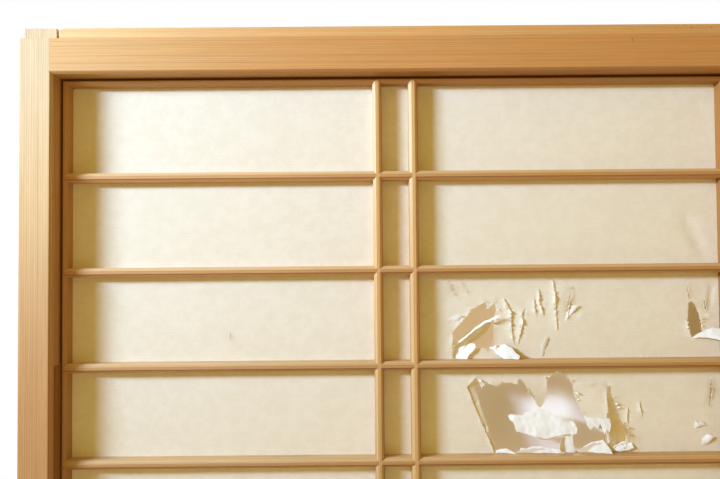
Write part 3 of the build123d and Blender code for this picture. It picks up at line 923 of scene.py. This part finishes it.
def subdivided(points, step, closed=True):
    """The same line with points no further apart than a step."""
    ends = points[1:] + points[:1] if closed else points[1:]
    result = []
    for start, end in zip(points, ends):
        count = max(1, math.ceil((end - start).length / step))
        result += [start.lerp(end, k / count) for k in range(count)]
    return result if closed else result + [points[-1]]


def ragged(points, depth, closed=True):
    """A torn edge: the line strays to both sides, coarse and fine."""
    line = subdivided(points, OUTLINE_STEP, closed)
    result = []
    for point in line:
        coarse = noise.noise_vector(Vector((point.x, 0.0, point.y)) * 260)
        fine = noise.noise_vector(Vector((point.x, 3.0, point.y)) * 900)
        stray = coarse * depth + fine * depth * 0.7
        result.append(point + Vector((stray.x, stray.z)))
    return result


def crack_outline(crack):
    """A narrow opening along a crack, widest in its middle."""
    line = subdivided(placed(crack.row, crack.points), OUTLINE_STEP, closed=False)
    last = len(line) - 1
    left, right = [], []
    for k, point in enumerate(line):
        along = (line[min(k + 1, last)] - line[max(k - 1, 0)]).normalized()
        side = Vector((-along.y, along.x))
        wander = max(0.1, 1 + 1.8 * noise.noise(Vector((point.x, 1.0, point.y)) * 420))
        half = crack.width * MM / 2 * math.sin(math.pi * k / last) ** 0.6 * wander
        if 0 < k < last:
            left.append(point + side * half)
            right.append(point - side * half)
    return [line[0]] + left + [line[-1]] + right[::-1]


def inside(point, outline):
    """Whether a point lies in an outline."""
    hit = False
    before = outline[-1]
    for corner in outline:
        if (corner.y > point.y) != (before.y > point.y):
            reach = (before.x - corner.x) * (point.y - corner.y) / (before.y - corner.y) + corner.x
            if point.x < reach:
                hit = not hit
        before = corner
    return hit


class Region:
    """An outline with its box, so that far points are told apart quickly."""

    def __init__(self, outline):
        self.outline = outline
        self.low = Vector((min(p.x for p in outline), min(p.y for p in outline)))
        self.high = Vector((max(p.x for p in outline), max(p.y for p in outline)))

    def near(self, point, margin):
        return (self.low.x - margin < point.x < self.high.x + margin
                and self.low.y - margin < point.y < self.high.y + margin)

    def holds(self, point):
        return self.near(point, 0.0) and inside(point, self.outline)


def nearest_on(line, point):
    """Distance of a point to a line, which side it lies on, and how far along the line."""
    best = (1e9, 1.0, 0.0)
    spans = len(line) - 1
    for k, (start, end) in enumerate(zip(line, line[1:])):
        run = end - start
        share = max(0.0, min(1.0, (point - start).dot(run) / run.length_squared))
        away = point - (start + run * share)
        if away.length < best[0]:
            side = 1.0 if run.x * away.y - run.y * away.x > 0 else -1.0
            best = (away.length, side, (k + share) / spans)
    return best


def rim_distance(outline, point):
    """Distance of a point to the line round an outline."""
    return nearest_on(outline + outline[:1], point)[0]


def lines_in(rows, marks):
    """The cracks or creases of some rows, each with its box and its line."""
    lines = [(placed(mark.row, mark.points), mark) for mark in marks if mark.row in rows]
    return [(Region(line), line, mark) for line, mark in lines]


class Relief:
    """How far the paper's face stands from flat, in metres towards the room."""

    def __init__(self, rows, slack):
        self.slack = slack
        self.cracks = lines_in(rows, CRACKS)
        self.creases = lines_in(rows, CREASES)
        self.bends = [(Region(placed(b.row, b.outline)), b) for b in BENDS if b.row in rows]
        self.tears = [Region(placed(t.row, t.outline)) for t in TEARS if t.row in rows]

    def free(self, point):
        """0 where the paper is pasted down, up to 1 in the middle of a cell."""
        gaps = [abs(point.y - centre) - PASTED_HALF for centre in BAR_CENTRES]
        gaps += [abs(abs(point.x) - UPRIGHT_CENTRE) - PASTED_HALF, CELL_RIGHT - abs(point.x)]
        gaps += [cell_top(1) - point.y, point.y - CELLS_FOOT]
        nearest = max(0.0, min(gaps))
        share = min(1.0, nearest / SLACK_MARGIN)
        return share * share * (3 - 2 * share)

    def at(self, point):
        """The relief at one point: slack, lips of cracks, creases, curled rims and hanging parts."""
        free = self.free(point)
        spot = Vector((point.x, 0.0, point.y))
        waves = noise.noise(Vector((spot.x * 16, 5.0, spot.z * 34))) + 0.5 * noise.noise(spot * 75)
        lift = self.slack * waves
        for region, line, crack in self.cracks:
            if region.near(point, 3 * LIP_REACH):
                away, side, along = nearest_on(line, point)
                lip = crack.left_lip if side > 0 else crack.right_lip
                patchy = 0.3 + 1.6 * abs(noise.noise(spot * 260))
                lift += lip * patchy * MM * math.exp(-away / LIP_REACH) * math.sin(math.pi * along) ** 0.5
        for region, line, crease in self.creases:
            width = crease.width * MM
            if region.near(point, 3 * width):
                away, side, along = nearest_on(line, point)
                fade = (1 - along ** 3) * min(1, 6 * along)
                lift += crease.lift * MM * math.exp(-(away / width) ** 2) * fade
        lift *= free
        for region in self.tears:
            if region.near(point, 3 * LIP_REACH):
                away = rim_distance(region.outline, point)
                lift += rim_lift(spot) * math.exp(-away / LIP_REACH) * min(1.0, 2 * free)
        for region, bend in self.bends:
            if region.holds(point):
                low = (cell_top(bend.row) - bend.hinge_down * MM) - point.y
                if low > 0:
                    share = low / (bend.reach * MM)
                    middle = (region.low.x + region.high.x) / 2
                    lift += bend.forward * MM * share ** 2.2
                    lift -= bend.sideways * (point.x - middle) * share
        return lift


def rim_lift(spot):
    """The way a torn rim curls, forwards in places and backwards in others."""
    return 0.9 * MM * (noise.noise(spot * 130) + 0.15)


def triangulated(outline, holes, points):
    """Triangles that fill an outline apart from its holes, through the given inner points."""
    coords = list(outline)
    edges = [(k, (k + 1) % len(outline)) for k in range(len(outline))]
    for hole in holes:
        first = len(coords)
        coords += hole
        edges += [(first + k, first + (k + 1) % len(hole)) for k in range(len(hole))]
    coords += points
    found = delaunay_2d_cdt(coords, edges, [], 0, 1e-7)
    vertices, faces = found[0], found[2]
    regions = [Region(hole) for hole in holes]
    rim = Region(outline)
    kept = []
    for face in faces:
        middle = (vertices[face[0]] + vertices[face[1]] + vertices[face[2]]) / 3
        if rim.holds(middle) and not any(region.holds(middle) for region in regions):
            kept.append(tuple(face))
    return vertices, kept


def far_enough(point, regions, gap):
    """Whether a point lies outside all the regions, and by at least a gap."""
    for region in regions:
        if region.near(point, gap):
            if rim_distance(region.outline, point) < gap or inside(point, region.outline):
                return False
    return True


def inner_points(low, high, step, regions):
    """A jittered grid, finer round the tears."""
    fine = step / FINE_STEP_SHARE
    columns = int((high.x - low.x) / step)
    rows = int((high.y - low.y) / step)
    result = []
    for column in range(columns):
        for row in range(rows):
            corner = Vector((low.x + (column + 0.5) * step, low.y + (row + 0.5) * step))
            if any(region.near(corner, TEAR_ZONE) for region in regions):
                spots = [corner + Vector((dx, dy)) * fine for dx in (-1, 0, 1) for dy in (-1, 0, 1)]
                jitter = fine * 0.3
            else:
                spots = [corner]
                jitter = step * 0.25
            for spot in spots:
                stray = noise.noise_vector(Vector((spot.x, 9.0, spot.y)) * 3000)
                spot = spot + Vector((stray.x, stray.z)) * jitter
                if far_enough(spot, regions, fine * 0.4):
                    result.append(spot)
    return result


def flap_part(flap, depth):
    """Vertices and faces of one loose flap. Its face stands off the sheet by a slope and a bend."""
    outline = ragged(placed(flap.row, flap.outline), depth * 0.8)
    region = Region(outline)
    points = []
    columns = int((region.high.x - region.low.x) / FLAP_STEP)
    rows = int((region.high.y - region.low.y) / FLAP_STEP)
    for column in range(1, columns + 1):
        for row in range(1, rows + 1):
            spot = region.low + Vector((column - 0.5, row - 0.5)) * FLAP_STEP
            if region.holds(spot) and rim_distance(outline, spot) > FLAP_STEP * 0.4:
                points.append(spot)
    vertices, faces = triangulated(outline, [], points)
    hinge = in_leaf(flap.row, flap.hinge)
    turn = Matrix.Rotation(-math.radians(flap.turn), 2)
    solid = []
    for vertex in vertices:
        u, v = turn @ (vertex - hinge) / MM
        back = flap.lift + flap.slope[0] * u + flap.slope[1] * v
        back += flap.bend[0] * u ** 2 + flap.bend[1] * v ** 2
        crumple = 0.5 * noise.noise(Vector((vertex.x, 2.0, vertex.y)) * 220)
        crumple += 0.9 * noise.noise(Vector((vertex.x, 6.0, vertex.y)) * 95)
        solid.append(Vector((vertex.x, LATTICE_BACK + (back + crumple) * MM, vertex.y)))
    return solid, faces


def seam_step(z, lap_bar):
    """How far a strip steps back where it laps over the strip below, behind a bar."""
    if lap_bar is None:
        return 0.0
    upper = BAR_CENTRES[lap_bar - 1] + SEAM_HALF_LAP + 2 * SHEET_THICKNESS
    share = max(0.0, min(1.0, (upper - z) / SHEET_THICKNESS))
    return SHEET_THICKNESS * share


def washi_strip(name, node_name, rows, lap_bar):
    """One strip of pasted paper with its tears, cracks, creases and flaps, as a closed thin sheet."""
    paper = bpy.context.scene.shoji_paper
    low3, high3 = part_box(node_name)
    low, high = Vector((low3[0], low3[2])), Vector((high3[0], high3[2]))
    corners = [low, Vector((high.x, low.y)), high, Vector((low.x, high.y))]
    outline = [trimmed(point, low, high) for point in subdivided(corners, EDGE_STEP)]
    torn = [ragged(placed(t.row, t.outline), paper.ragged) for t in TEARS if t.row in rows]
    slits = [crack_outline(c) for c in CRACKS if c.row in rows]
    slits = [slit for slit in slits if not any(shares_ground(slit, hole) for hole in torn)]
    holes = torn + slits
    regions = [Region(hole) for hole in holes]
    points = inner_points(low, high, paper.mesh_step, regions)
    flat, faces = triangulated(outline, holes, points)
    relief = Relief(rows, paper.cockle)
    vertices = []
    for point in flat:
        back = seam_step(point.y, lap_bar) - relief.at(point)
        vertices.append(Vector((point.x, LATTICE_BACK + back, point.y)))
    bared = [0.0] * len(vertices)
    for flap in FLAPS:
        if flap.row in rows:
            more, more_faces = flap_part(flap, paper.ragged)
            first = len(vertices)
            vertices += more
            bared += [flap.bare] * len(more)
            faces += [tuple(first + index for index in face) for face in more_faces]
    mesh = bpy.data.meshes.new(name)
    mesh.from_pydata(vertices, [], [facing_room(face, vertices) for face in faces])
    mark = mesh.attributes.new("bared", "FLOAT", "POINT")
    mark.data.foreach_set("value", bared)
    obj = bpy.data.objects.new(name, mesh)
    bpy.context.scene.collection.objects.link(obj)
    return thickened(obj), torn, slits


def facing_room(face, vertices):
    """The face turned so that its front looks to the room, along -Y."""
    a, b, c = (vertices[index] for index in face)
    return face if (b - a).cross(c - a).y < 0 else face[::-1]


def shares_ground(slit, hole):
    """Whether a slit meets a hole, so that the two would cross."""
    region = Region(hole)
    close = [point for point in slit if region.near(point, 2 * MM)]
    return any(inside(point, hole) or rim_distance(hole, point) < 0.6 * MM for point in close)


def trimmed(point, low, high):
    """The strip's edge, cut by knife and not quite true, but never outside its place."""
    inward = 0.35 * MM * (1 + noise.noise(Vector((point.x, 4.0, point.y)) * 40))
    x = min(max(point.x, low.x + inward), high.x - inward)
    y = min(max(point.y, low.y + inward), high.y - inward)
    return Vector((x, y))


def thickened(obj):
    """The sheet with its thickness, as a plain mesh."""
    wall = obj.modifiers.new("thickness", "SOLIDIFY")
    wall.thickness = SHEET_THICKNESS
    wall.offset = -1.0
    return plain(obj)


def plain(obj):
    """The object with its modifiers worked into a new mesh."""
    graph = bpy.context.evaluated_depsgraph_get()
    mesh = bpy.data.meshes.new_from_object(obj.evaluated_get(graph), depsgraph=graph)
    obj.modifiers.clear()
    old = obj.data
    obj.data = mesh
    mesh.name = obj.name
    bpy.data.meshes.remove(old)
    mesh.shade_smooth()
    mesh.set_sharp_from_angle(angle=math.radians(50))
    return obj


def new_tree(name, numbers):
    """A geometry node tree with a mesh, named numbers and a seed. Returns it, its net and its inputs."""
    tree = bpy.data.node_groups.new(name, "GeometryNodeTree")
    face = tree.interface
    face.new_socket(name="Geometry", in_out="INPUT", socket_type="NodeSocketGeometry")
    for title, default in numbers.items():
        face.new_socket(name=title, in_out="INPUT", socket_type="NodeSocketFloat").default_value = default
    face.new_socket(name="Seed", in_out="INPUT", socket_type="NodeSocketInt").default_value = 1
    face.new_socket(name="Geometry", in_out="OUTPUT", socket_type="NodeSocketGeometry")
    net = Net(tree)
    return tree, net, net.node("NodeGroupInput").outputs


def points_on_edges(net, given):
    """Points along the edges of the mesh, a gap apart."""
    line = net.node("GeometryNodeMeshToCurve")
    net.feed(line.inputs["Mesh"], given["Geometry"])
    spaced = net.node("GeometryNodeResampleCurve", mode="LENGTH")
    net.feed(spaced.inputs["Curve"], line.outputs[0])
    net.feed(spaced.inputs["Length"], given["Gap"])
    return spaced.outputs[0]


def random_turn(net, given, low, high):
    """A random turn about each axis, between two sets of angles."""
    made = net.node("FunctionNodeRandomValue", data_type="FLOAT_VECTOR")
    made.inputs[0].default_value = low
    made.inputs[1].default_value = high
    net.feed(made.inputs["Seed"], given["Seed"])
    return made.outputs[0]


def random_size(net, given, low, high):
    """A random size between two."""
    made = net.node("FunctionNodeRandomValue", data_type="FLOAT")
    made.inputs[2].default_value = low
    made.inputs[3].default_value = high
    net.feed(made.inputs["Seed"], given["Seed"])
    return made.outputs[1]


def scattered(net, material, **wanted):
    """Copies of a piece on points, as real geometry with its material, led to the tree's output."""
    scatter = net.node("GeometryNodeInstanceOnPoints")
    for title, value in wanted.items():
        net.feed(scatter.inputs[title], value)
    real = net.node("GeometryNodeRealizeInstances")
    net.feed(real.inputs[0], scatter.outputs[0])
    finish = net.node("GeometryNodeSetMaterial")
    net.feed(finish.inputs["Geometry"], real.outputs[0])
    finish.inputs["Material"].default_value = material
    net.feed(net.node("NodeGroupOutput").inputs[0], finish.outputs[0])


def loose_fibre_tree(material):
    """Geometry nodes: short bent fibres along the edges of a mesh."""
    numbers = {"Fibre length": 0.0026, "Fibre radius": 0.00008, "Gap": 0.0008}
    tree, net, given = new_tree("Loose fibres", numbers)
    bent = net.node("GeometryNodeCurveQuadraticBezier")
    bent.inputs["Resolution"].default_value = 3
    for socket, share, sag in (("Start", -0.2, 0.0), ("Middle", 0.4, 0.3), ("End", 0.9, 0.0)):
        spot = net.node("ShaderNodeCombineXYZ")
        net.feed(spot.inputs[0], net.math("MULTIPLY", given["Fibre length"], share))
        net.feed(spot.inputs[2], net.math("MULTIPLY", given["Fibre length"], sag))
        net.feed(bent.inputs[socket], spot.outputs[0])
    round_section = net.node("GeometryNodeCurvePrimitiveCircle")
    round_section.inputs["Resolution"].default_value = 3
    net.feed(round_section.inputs["Radius"], given["Fibre radius"])
    fibre = net.node("GeometryNodeCurveToMesh")
    net.feed(fibre.inputs["Curve"], bent.outputs[0])
    net.feed(fibre.inputs["Profile Curve"], round_section.outputs[0])
    fibre.inputs["Fill Caps"].default_value = True
    scattered(
        net, material, Points=points_on_edges(net, given), Instance=fibre.outputs[0],
        Rotation=random_turn(net, given, (-0.35, -math.pi, -0.45), (0.35, math.pi, 0.45)),
        Scale=random_size(net, given, 0.3, 1.0),
    )
    return tree


def rolled_curl(net, given):
    """A small tapering tongue of paper, rolled up along its length."""
    flat = net.node("GeometryNodeMeshGrid")
    net.feed(flat.inputs["Size X"], given["Curl width"])
    flat.inputs["Size Y"].default_value = 1.0
    flat.inputs["Vertices X"].default_value = 4
    flat.inputs["Vertices Y"].default_value = 9
    x, y, z = net.split(net.node("GeometryNodeInputPosition").outputs[0])
    along = net.math("ADD", y, 0.5)
    angle = net.math("MULTIPLY", along, given["Turn"])
    radius = net.math("DIVIDE", given["Curl length"], given["Turn"])
    taper = net.math("SUBTRACT", 1.0, net.math("MULTIPLY", along, 0.8))
    rise = net.math("SUBTRACT", 1.0, net.math("COSINE", angle))
    rolled = net.node("ShaderNodeCombineXYZ")
    net.feed(rolled.inputs[0], net.math("MULTIPLY", x, taper))
    net.feed(rolled.inputs[1], net.math("MULTIPLY", radius, net.math("SINE", angle)))
    net.feed(rolled.inputs[2], net.math("MULTIPLY", radius, rise))
    curl = net.node("GeometryNodeSetPosition")
    net.feed(curl.inputs["Geometry"], flat.outputs[0])
    net.feed(curl.inputs["Position"], rolled.outputs[0])
    return curl.outputs[0]


def rim_curl_tree(material):
    """Geometry nodes: small curls of paper along the edges of a mesh, each rolled off the sheet."""
    numbers = {"Curl length": 0.0046, "Curl width": 0.0024, "Turn": 1.8, "Gap": 0.0034, "Share": 0.3}
    tree, net, given = new_tree("Rim curls", numbers)
    outward = net.node("GeometryNodeInputNamedAttribute", data_type="FLOAT_VECTOR")
    outward.inputs["Name"].default_value = "outward"
    facing = net.node("FunctionNodeAxesToRotation", primary_axis="Z", secondary_axis="Y")
    facing.inputs[0].default_value = (0.0, -1.0, 0.0)
    net.feed(facing.inputs[1], outward.outputs[0])
    turned = net.node("FunctionNodeRotateRotation", rotation_space="LOCAL")
    net.feed(turned.inputs[0], facing.outputs[0])
    net.feed(turned.inputs[1], random_turn(net, given, (-0.3, -0.5, -0.9), (0.5, 0.5, 0.9)))
    chosen = net.node("FunctionNodeRandomValue", data_type="BOOLEAN")
    net.feed(chosen.inputs["Probability"], given["Share"])
    net.feed(chosen.inputs["Seed"], given["Seed"])
    scattered(
        net, material, Points=points_on_edges(net, given), Selection=chosen.outputs[3],
        Instance=rolled_curl(net, given), Rotation=turned.outputs[0],
        Scale=random_size(net, given, 0.3, 1.15),
    )
    return tree


def rim_lines(name, outlines, relief, material):
    """The torn edges as lines on the sheet, away from the bars, each point with its way outwards."""
    vertices, edges, outward = [], [], []
    for outline in outlines:
        count = len(outline)
        area = sum(a.x * b.y - b.x * a.y for a, b in zip(outline, outline[1:] + outline[:1]))
        sense = 1.0 if area > 0 else -1.0
        first = len(vertices)
        for k, point in enumerate(outline):
            y = LATTICE_BACK + SHEET_THICKNESS / 4 - relief.at(point)
            vertices.append(Vector((point.x, y, point.y)))
            run = outline[(k + 1) % count] - outline[k - 1]
            outward += [sense * run.y, 0.0, -sense * run.x]
        free = [relief.free(point) > 0.3 for point in outline]
        spans = [(k, (k + 1) % count) for k in range(count)]
        edges += [(first + start, first + end) for start, end in spans if free[start] and free[end]]
    mesh = bpy.data.meshes.new(name)
    mesh.from_pydata(vertices, edges, [])
    mark = mesh.attributes.new("outward", "FLOAT_VECTOR", "POINT")
    mark.data.foreach_set("vector", outward)
    mesh.materials.append(material)
    obj = bpy.data.objects.new(name, mesh)
    bpy.context.scene.collection.objects.link(obj)
    return obj


def grown(obj, tree, wanted):
    """The object with a geometry node tree worked in. The values are given by their inputs' names."""
    grow = obj.modifiers.new(tree.name, "NODES")
    grow.node_group = tree
    for item in tree.interface.items_tree:
        if item.in_out == "INPUT" and item.name in wanted:
            grow[item.identifier] = wanted[item.name]
    return obj


def loose_fibres(name, outlines, relief, material):
    """Fibres that stand out of the torn edges."""
    paper = bpy.context.scene.shoji_paper
    obj = rim_lines(name, outlines, relief, material)
    wanted = {"Fibre length": paper.fibre_length, "Gap": paper.fibre_gap, "Seed": paper.seed}
    return plain(grown(obj, loose_fibre_tree(material), wanted))


def rim_curls(name, outlines, relief, material):
    """Small curls where the rim of a tear has rolled up."""
    paper = bpy.context.scene.shoji_paper
    obj = rim_lines(name, outlines, relief, material)
    wanted = {"Curl length": paper.curl_length, "Gap": paper.curl_gap, "Seed": paper.seed + 1}
    grown(obj, rim_curl_tree(material), wanted)
    wall = obj.modifiers.new("thickness", "SOLIDIFY")
    wall.thickness = SHEET_THICKNESS / 2
    wall.offset = 0.0
    return plain(obj)


def finished(obj, material, nodes):
    """The piece takes its material, its body and the nodes that it stands for."""
    obj.data.materials.clear()
    obj.data.materials.append(material)
    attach(obj, BODY)
    if nodes:
        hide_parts(*nodes)


class SHOJI_OT_dress_frame(bpy.types.Operator):
    """Give the stiles and rails their wood"""

    bl_idname = "shoji.dress_frame"
    bl_label = "Dress the frame"

    def execute(self, context):
        dress(STILES, "Z", 1)
        dress(RAILS, "X", 1 + len(STILES))
        return {"FINISHED"}


class SHOJI_OT_dress_lattice(bpy.types.Operator):
    """Give the bars and linings their wood"""

    bl_idname = "shoji.dress_lattice"
    bl_label = "Dress the lattice"

    def execute(self, context):
        first = 1 + len(STILES) + len(RAILS)
        dress(UPRIGHT_STRIPS, "Z", first)
        dress(LEVEL_STRIPS, "X", first + len(UPRIGHT_STRIPS))
        return {"FINISHED"}


class SHOJI_OT_paste_paper(bpy.types.Operator):
    """Paste the three strips of washi on the back, torn as the photograph shows"""

    bl_idname = "shoji.paste_paper"
    bl_label = "Paste the paper"

    def execute(self, context):
        noise.seed_set(context.scene.shoji_paper.seed)
        material = washi_material(shared_groups())
        strips = [
            ("washi_upper", "paper_upper", (1, 2), 2),
            ("washi_middle", "paper_middle", (3, 4, 5), 5),
            ("washi_lower", "paper_lower", (6, 7, 8), None),
        ]
        for name, node_name, rows, lap_bar in strips:
            obj, torn, slits = washi_strip(name, node_name, rows, lap_bar)
            if not len(obj.data.polygons):
                raise RuntimeError(f"{name} has no faces")
            finished(obj, material, [node_name])
            bits = []
            if torn:
                relief = Relief(rows, context.scene.shoji_paper.cockle)
                bits = [
                    loose_fibres(f"{name}_fibres", torn + slits, relief, material),
                    rim_curls(f"{name}_curls", torn, relief, material),
                ]
            for bit in bits:
                finished(bit, material, [])
        return {"FINISHED"}


def stage_mesh(name, corners):
    """One flat face that belongs to the stage."""
    mesh = bpy.data.meshes.new(name)
    mesh.from_pydata(corners, [], [tuple(range(len(corners)))])
    obj = bpy.data.objects.new(name, mesh)
    bpy.context.scene.collection.objects.link(obj)
    return obj


def seen_directly(net):
    """1 for rays from the camera, mirrors and glass, 0 for the light that falls on things."""
    path = net.node("ShaderNodeLightPath").outputs
    seen = net.math("MAXIMUM", path["Is Camera Ray"], path["Is Glossy Ray"])
    return net.math("MAXIMUM", seen, path["Is Transmission Ray"])


def floor_material():
    """A pale floor that keeps the shadow near the leaf and turns white far off."""
    material, net, output = new_material("pale_floor")
    shader = net.node("ShaderNodeBsdfDiffuse")
    net.feed(shader.inputs["Color"], FLOOR_COLOUR)
    cool = net.node("ShaderNodeEmission")
    net.feed(cool.inputs["Color"], FLOOR_COOLING)
    net.feed(cool.inputs["Strength"], seen_directly(net))
    pale = net.node("ShaderNodeAddShader")
    net.feed(pale.inputs[0], shader.outputs[0])
    net.feed(pale.inputs[1], cool.outputs[0])
    white = net.node("ShaderNodeEmission")
    x, y, z = net.split(net.node("ShaderNodeTexCoord").outputs["Object"])
    far = net.step(net.distance(x, y), *FLOOR_FADES)
    both = net.node("ShaderNodeMixShader")
    net.feed(both.inputs[0], net.math("MULTIPLY", far, seen_directly(net)))
    net.feed(both.inputs[1], pale.outputs[0])
    net.feed(both.inputs[2], white.outputs[0])
    net.feed(output.inputs["Surface"], both.outputs[0])
    return material


def board_material():
    """The pale board that shows through the tears, with painted shade at its right end and two painted pools
    of light in its glow. Only the camera in front of it sees it.
    """
    material, net, output = new_material("pale_board")
    shader = net.node("ShaderNodeBsdfDiffuse")
    x, y, z = net.split(net.node("ShaderNodeTexCoord").outputs["Object"])
    shade = net.step(x, *BOARD_DARKENS, 0.0, 0.8)
    net.feed(shader.inputs["Color"], net.mix(shade, BOARD_COLOUR, BOARD_SHADE))
    clear = net.node("ShaderNodeBsdfTransparent")
    camera = net.node("ShaderNodeLightPath").outputs["Is Camera Ray"]
    behind = net.node("ShaderNodeNewGeometry").outputs["Backfacing"]
    shown = net.math("MULTIPLY", camera, net.math("SUBTRACT", 1.0, behind))
    glow = net.node("ShaderNodeEmission")
    # Painted light: two soft pools of light laid into the board's glow
    colour = net.mix(soft_spot(net, x, z, *LOWER_PAINTED_LIGHT_AT), BOARD_GLOW, LOWER_PAINTED_LIGHT)
    added = net.mix(soft_spot(net, x, z, *UPPER_PAINTED_LIGHT_AT), (0.0, 0.0, 0.0), UPPER_PAINTED_LIGHT)
    colour = net.mix(1.0, colour, added, "ADD")
    net.feed(glow.inputs["Color"], colour)
    lit = net.node("ShaderNodeAddShader")
    net.feed(lit.inputs[0], shader.outputs[0])
    net.feed(lit.inputs[1], glow.outputs[0])
    both = net.node("ShaderNodeMixShader")
    net.feed(both.inputs[0], shown)
    net.feed(both.inputs[1], clear.outputs[0])
    net.feed(both.inputs[2], lit.outputs[0])
    net.feed(output.inputs["Surface"], both.outputs[0])
    return material


def area_lamp(lamp, power):
    """An oval lamp."""
    light = bpy.data.lights.new(lamp.name, "AREA")
    light.shape = "ELLIPSE"
    light.size, light.size_y = lamp.size
    light.energy = power
    light.color = lamp.colour
    light.spread = math.radians(lamp.spread)
    obj = bpy.data.objects.new(lamp.name, light)
    obj.location = lamp.place
    obj.rotation_euler = (Vector(lamp.target) - Vector(lamp.place)).to_track_quat("-Z", "Y").to_euler()
    bpy.context.scene.collection.objects.link(obj)


def camera_matrix():
    """The camera's place and turn, from pan to the right, tilt up and roll, in radians."""
    forward = Vector((
        math.sin(CAMERA_PAN) * math.cos(CAMERA_TILT),
        math.cos(CAMERA_PAN) * math.cos(CAMERA_TILT),
        math.sin(CAMERA_TILT),
    ))
    level = Vector((math.cos(CAMERA_PAN), -math.sin(CAMERA_PAN), 0.0))
    upright = level.cross(forward)
    right = level * math.cos(CAMERA_ROLL) + upright * math.sin(CAMERA_ROLL)
    up = upright * math.cos(CAMERA_ROLL) - level * math.sin(CAMERA_ROLL)
    turn = Matrix((right, up, -forward)).transposed()
    return Matrix.Translation(CAMERA_PLACE) @ turn.to_4x4()


class SHOJI_OT_set_stage(bpy.types.Operator):
    """Set the floor, the board behind the tears, the lamps, the world and the camera"""

    bl_idname = "shoji.set_stage"
    bl_label = "Set the stage"

    def execute(self, context):
        stage = context.scene.shoji_stage
        floor = stage_mesh("floor", [
            (-FLOOR_HALF, -FLOOR_HALF, 0), (FLOOR_HALF, -FLOOR_HALF, 0),
            (FLOOR_HALF, FLOOR_HALF, 0), (-FLOOR_HALF, FLOOR_HALF, 0),
        ])
        floor.data.materials.append(floor_material())
        high, low = [cell_top(row) for row in BOARD_ROWS]
        board = stage_mesh("board", [
            (BOARD_LEFT, BOARD_Y, low), (BOARD_RIGHT, BOARD_Y, low),
            (BOARD_RIGHT, BOARD_Y, high), (BOARD_LEFT, BOARD_Y, high),
        ])
        board.data.materials.append(board_material())
        area_lamp(WINDOW_LAMP, stage.lamp_power)
        area_lamp(ROOM_LAMP, stage.room_power)
        area_lamp(BACK_LAMP, stage.back_power)
        set_world(stage)
        camera = bpy.data.cameras.new("camera")
        camera.sensor_width = SENSOR_WIDTH
        camera.sensor_fit = "HORIZONTAL"
        camera.lens = stage.lens
        camera.clip_start = 0.01
        obj = bpy.data.objects.new("camera", camera)
        obj.matrix_world = camera_matrix()
        context.scene.collection.objects.link(obj)
        context.scene.camera = obj
        context.scene.view_settings.view_transform = "Standard"
        return {"FINISHED"}


def set_world(stage):
    """Warm light from the room, and plain white where the camera looks past the leaf."""
    world = bpy.data.worlds.new("room")
    world.use_nodes = True
    world.node_tree.nodes.clear()
    net = Net(world.node_tree)
    output = net.node("ShaderNodeOutputWorld")
    warm = net.node("ShaderNodeBackground")
    net.feed(warm.inputs["Color"], tuple(stage.room_light))
    white = net.node("ShaderNodeBackground")
    net.feed(white.inputs["Color"], (1.0, 1.0, 1.0))
    both = net.node("ShaderNodeMixShader")
    net.feed(both.inputs[0], seen_directly(net))
    net.feed(both.inputs[1], warm.outputs[0])
    net.feed(both.inputs[2], white.outputs[0])
    net.feed(output.inputs["Surface"], both.outputs[0])
    bpy.context.scene.world = world


class SHOJI_PT_panel(bpy.types.Panel):
    """Lists the steps and the sizes and colours they use"""

    bl_idname = "SHOJI_PT_panel"
    bl_label = "Shoji leaf"
    bl_space_type = "VIEW_3D"
    bl_region_type = "UI"
    bl_category = "Shoji"

    def draw(self, context):
        for operator in OPERATORS:
            self.layout.operator(operator.bl_idname)
        for name, group in SETTINGS.items():
            box = self.layout.box()
            for field in group.__annotations__:
                box.prop(getattr(context.scene, name), field)


SETTINGS = {"shoji_wood": ShojiWood, "shoji_paper": ShojiPaper, "shoji_stage": ShojiStage}
OPERATORS = [SHOJI_OT_dress_frame, SHOJI_OT_dress_lattice, SHOJI_OT_paste_paper, SHOJI_OT_set_stage]


def register():
    """Add the settings, the operators and the panel."""
    for group in SETTINGS.values():
        bpy.utils.register_class(group)
    for name, group in SETTINGS.items():
        setattr(bpy.types.Scene, name, PointerProperty(type=group))
    for operator in OPERATORS:
        bpy.utils.register_class(operator)
    bpy.utils.register_class(SHOJI_PT_panel)


def unregister():
    """Take the panel, the operators and the settings away."""
    bpy.utils.unregister_class(SHOJI_PT_panel)
    for operator in reversed(OPERATORS):
        bpy.utils.unregister_class(operator)
    for name, group in SETTINGS.items():
        delattr(bpy.types.Scene, name)
        bpy.utils.unregister_class(group)


def main():
    """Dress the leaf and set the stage."""
    register()
    bpy.ops.shoji.dress_frame()
    bpy.ops.shoji.dress_lattice()
    bpy.ops.shoji.paste_paper()
    bpy.ops.shoji.set_stage()


if __name__ == "__main__":
    main()
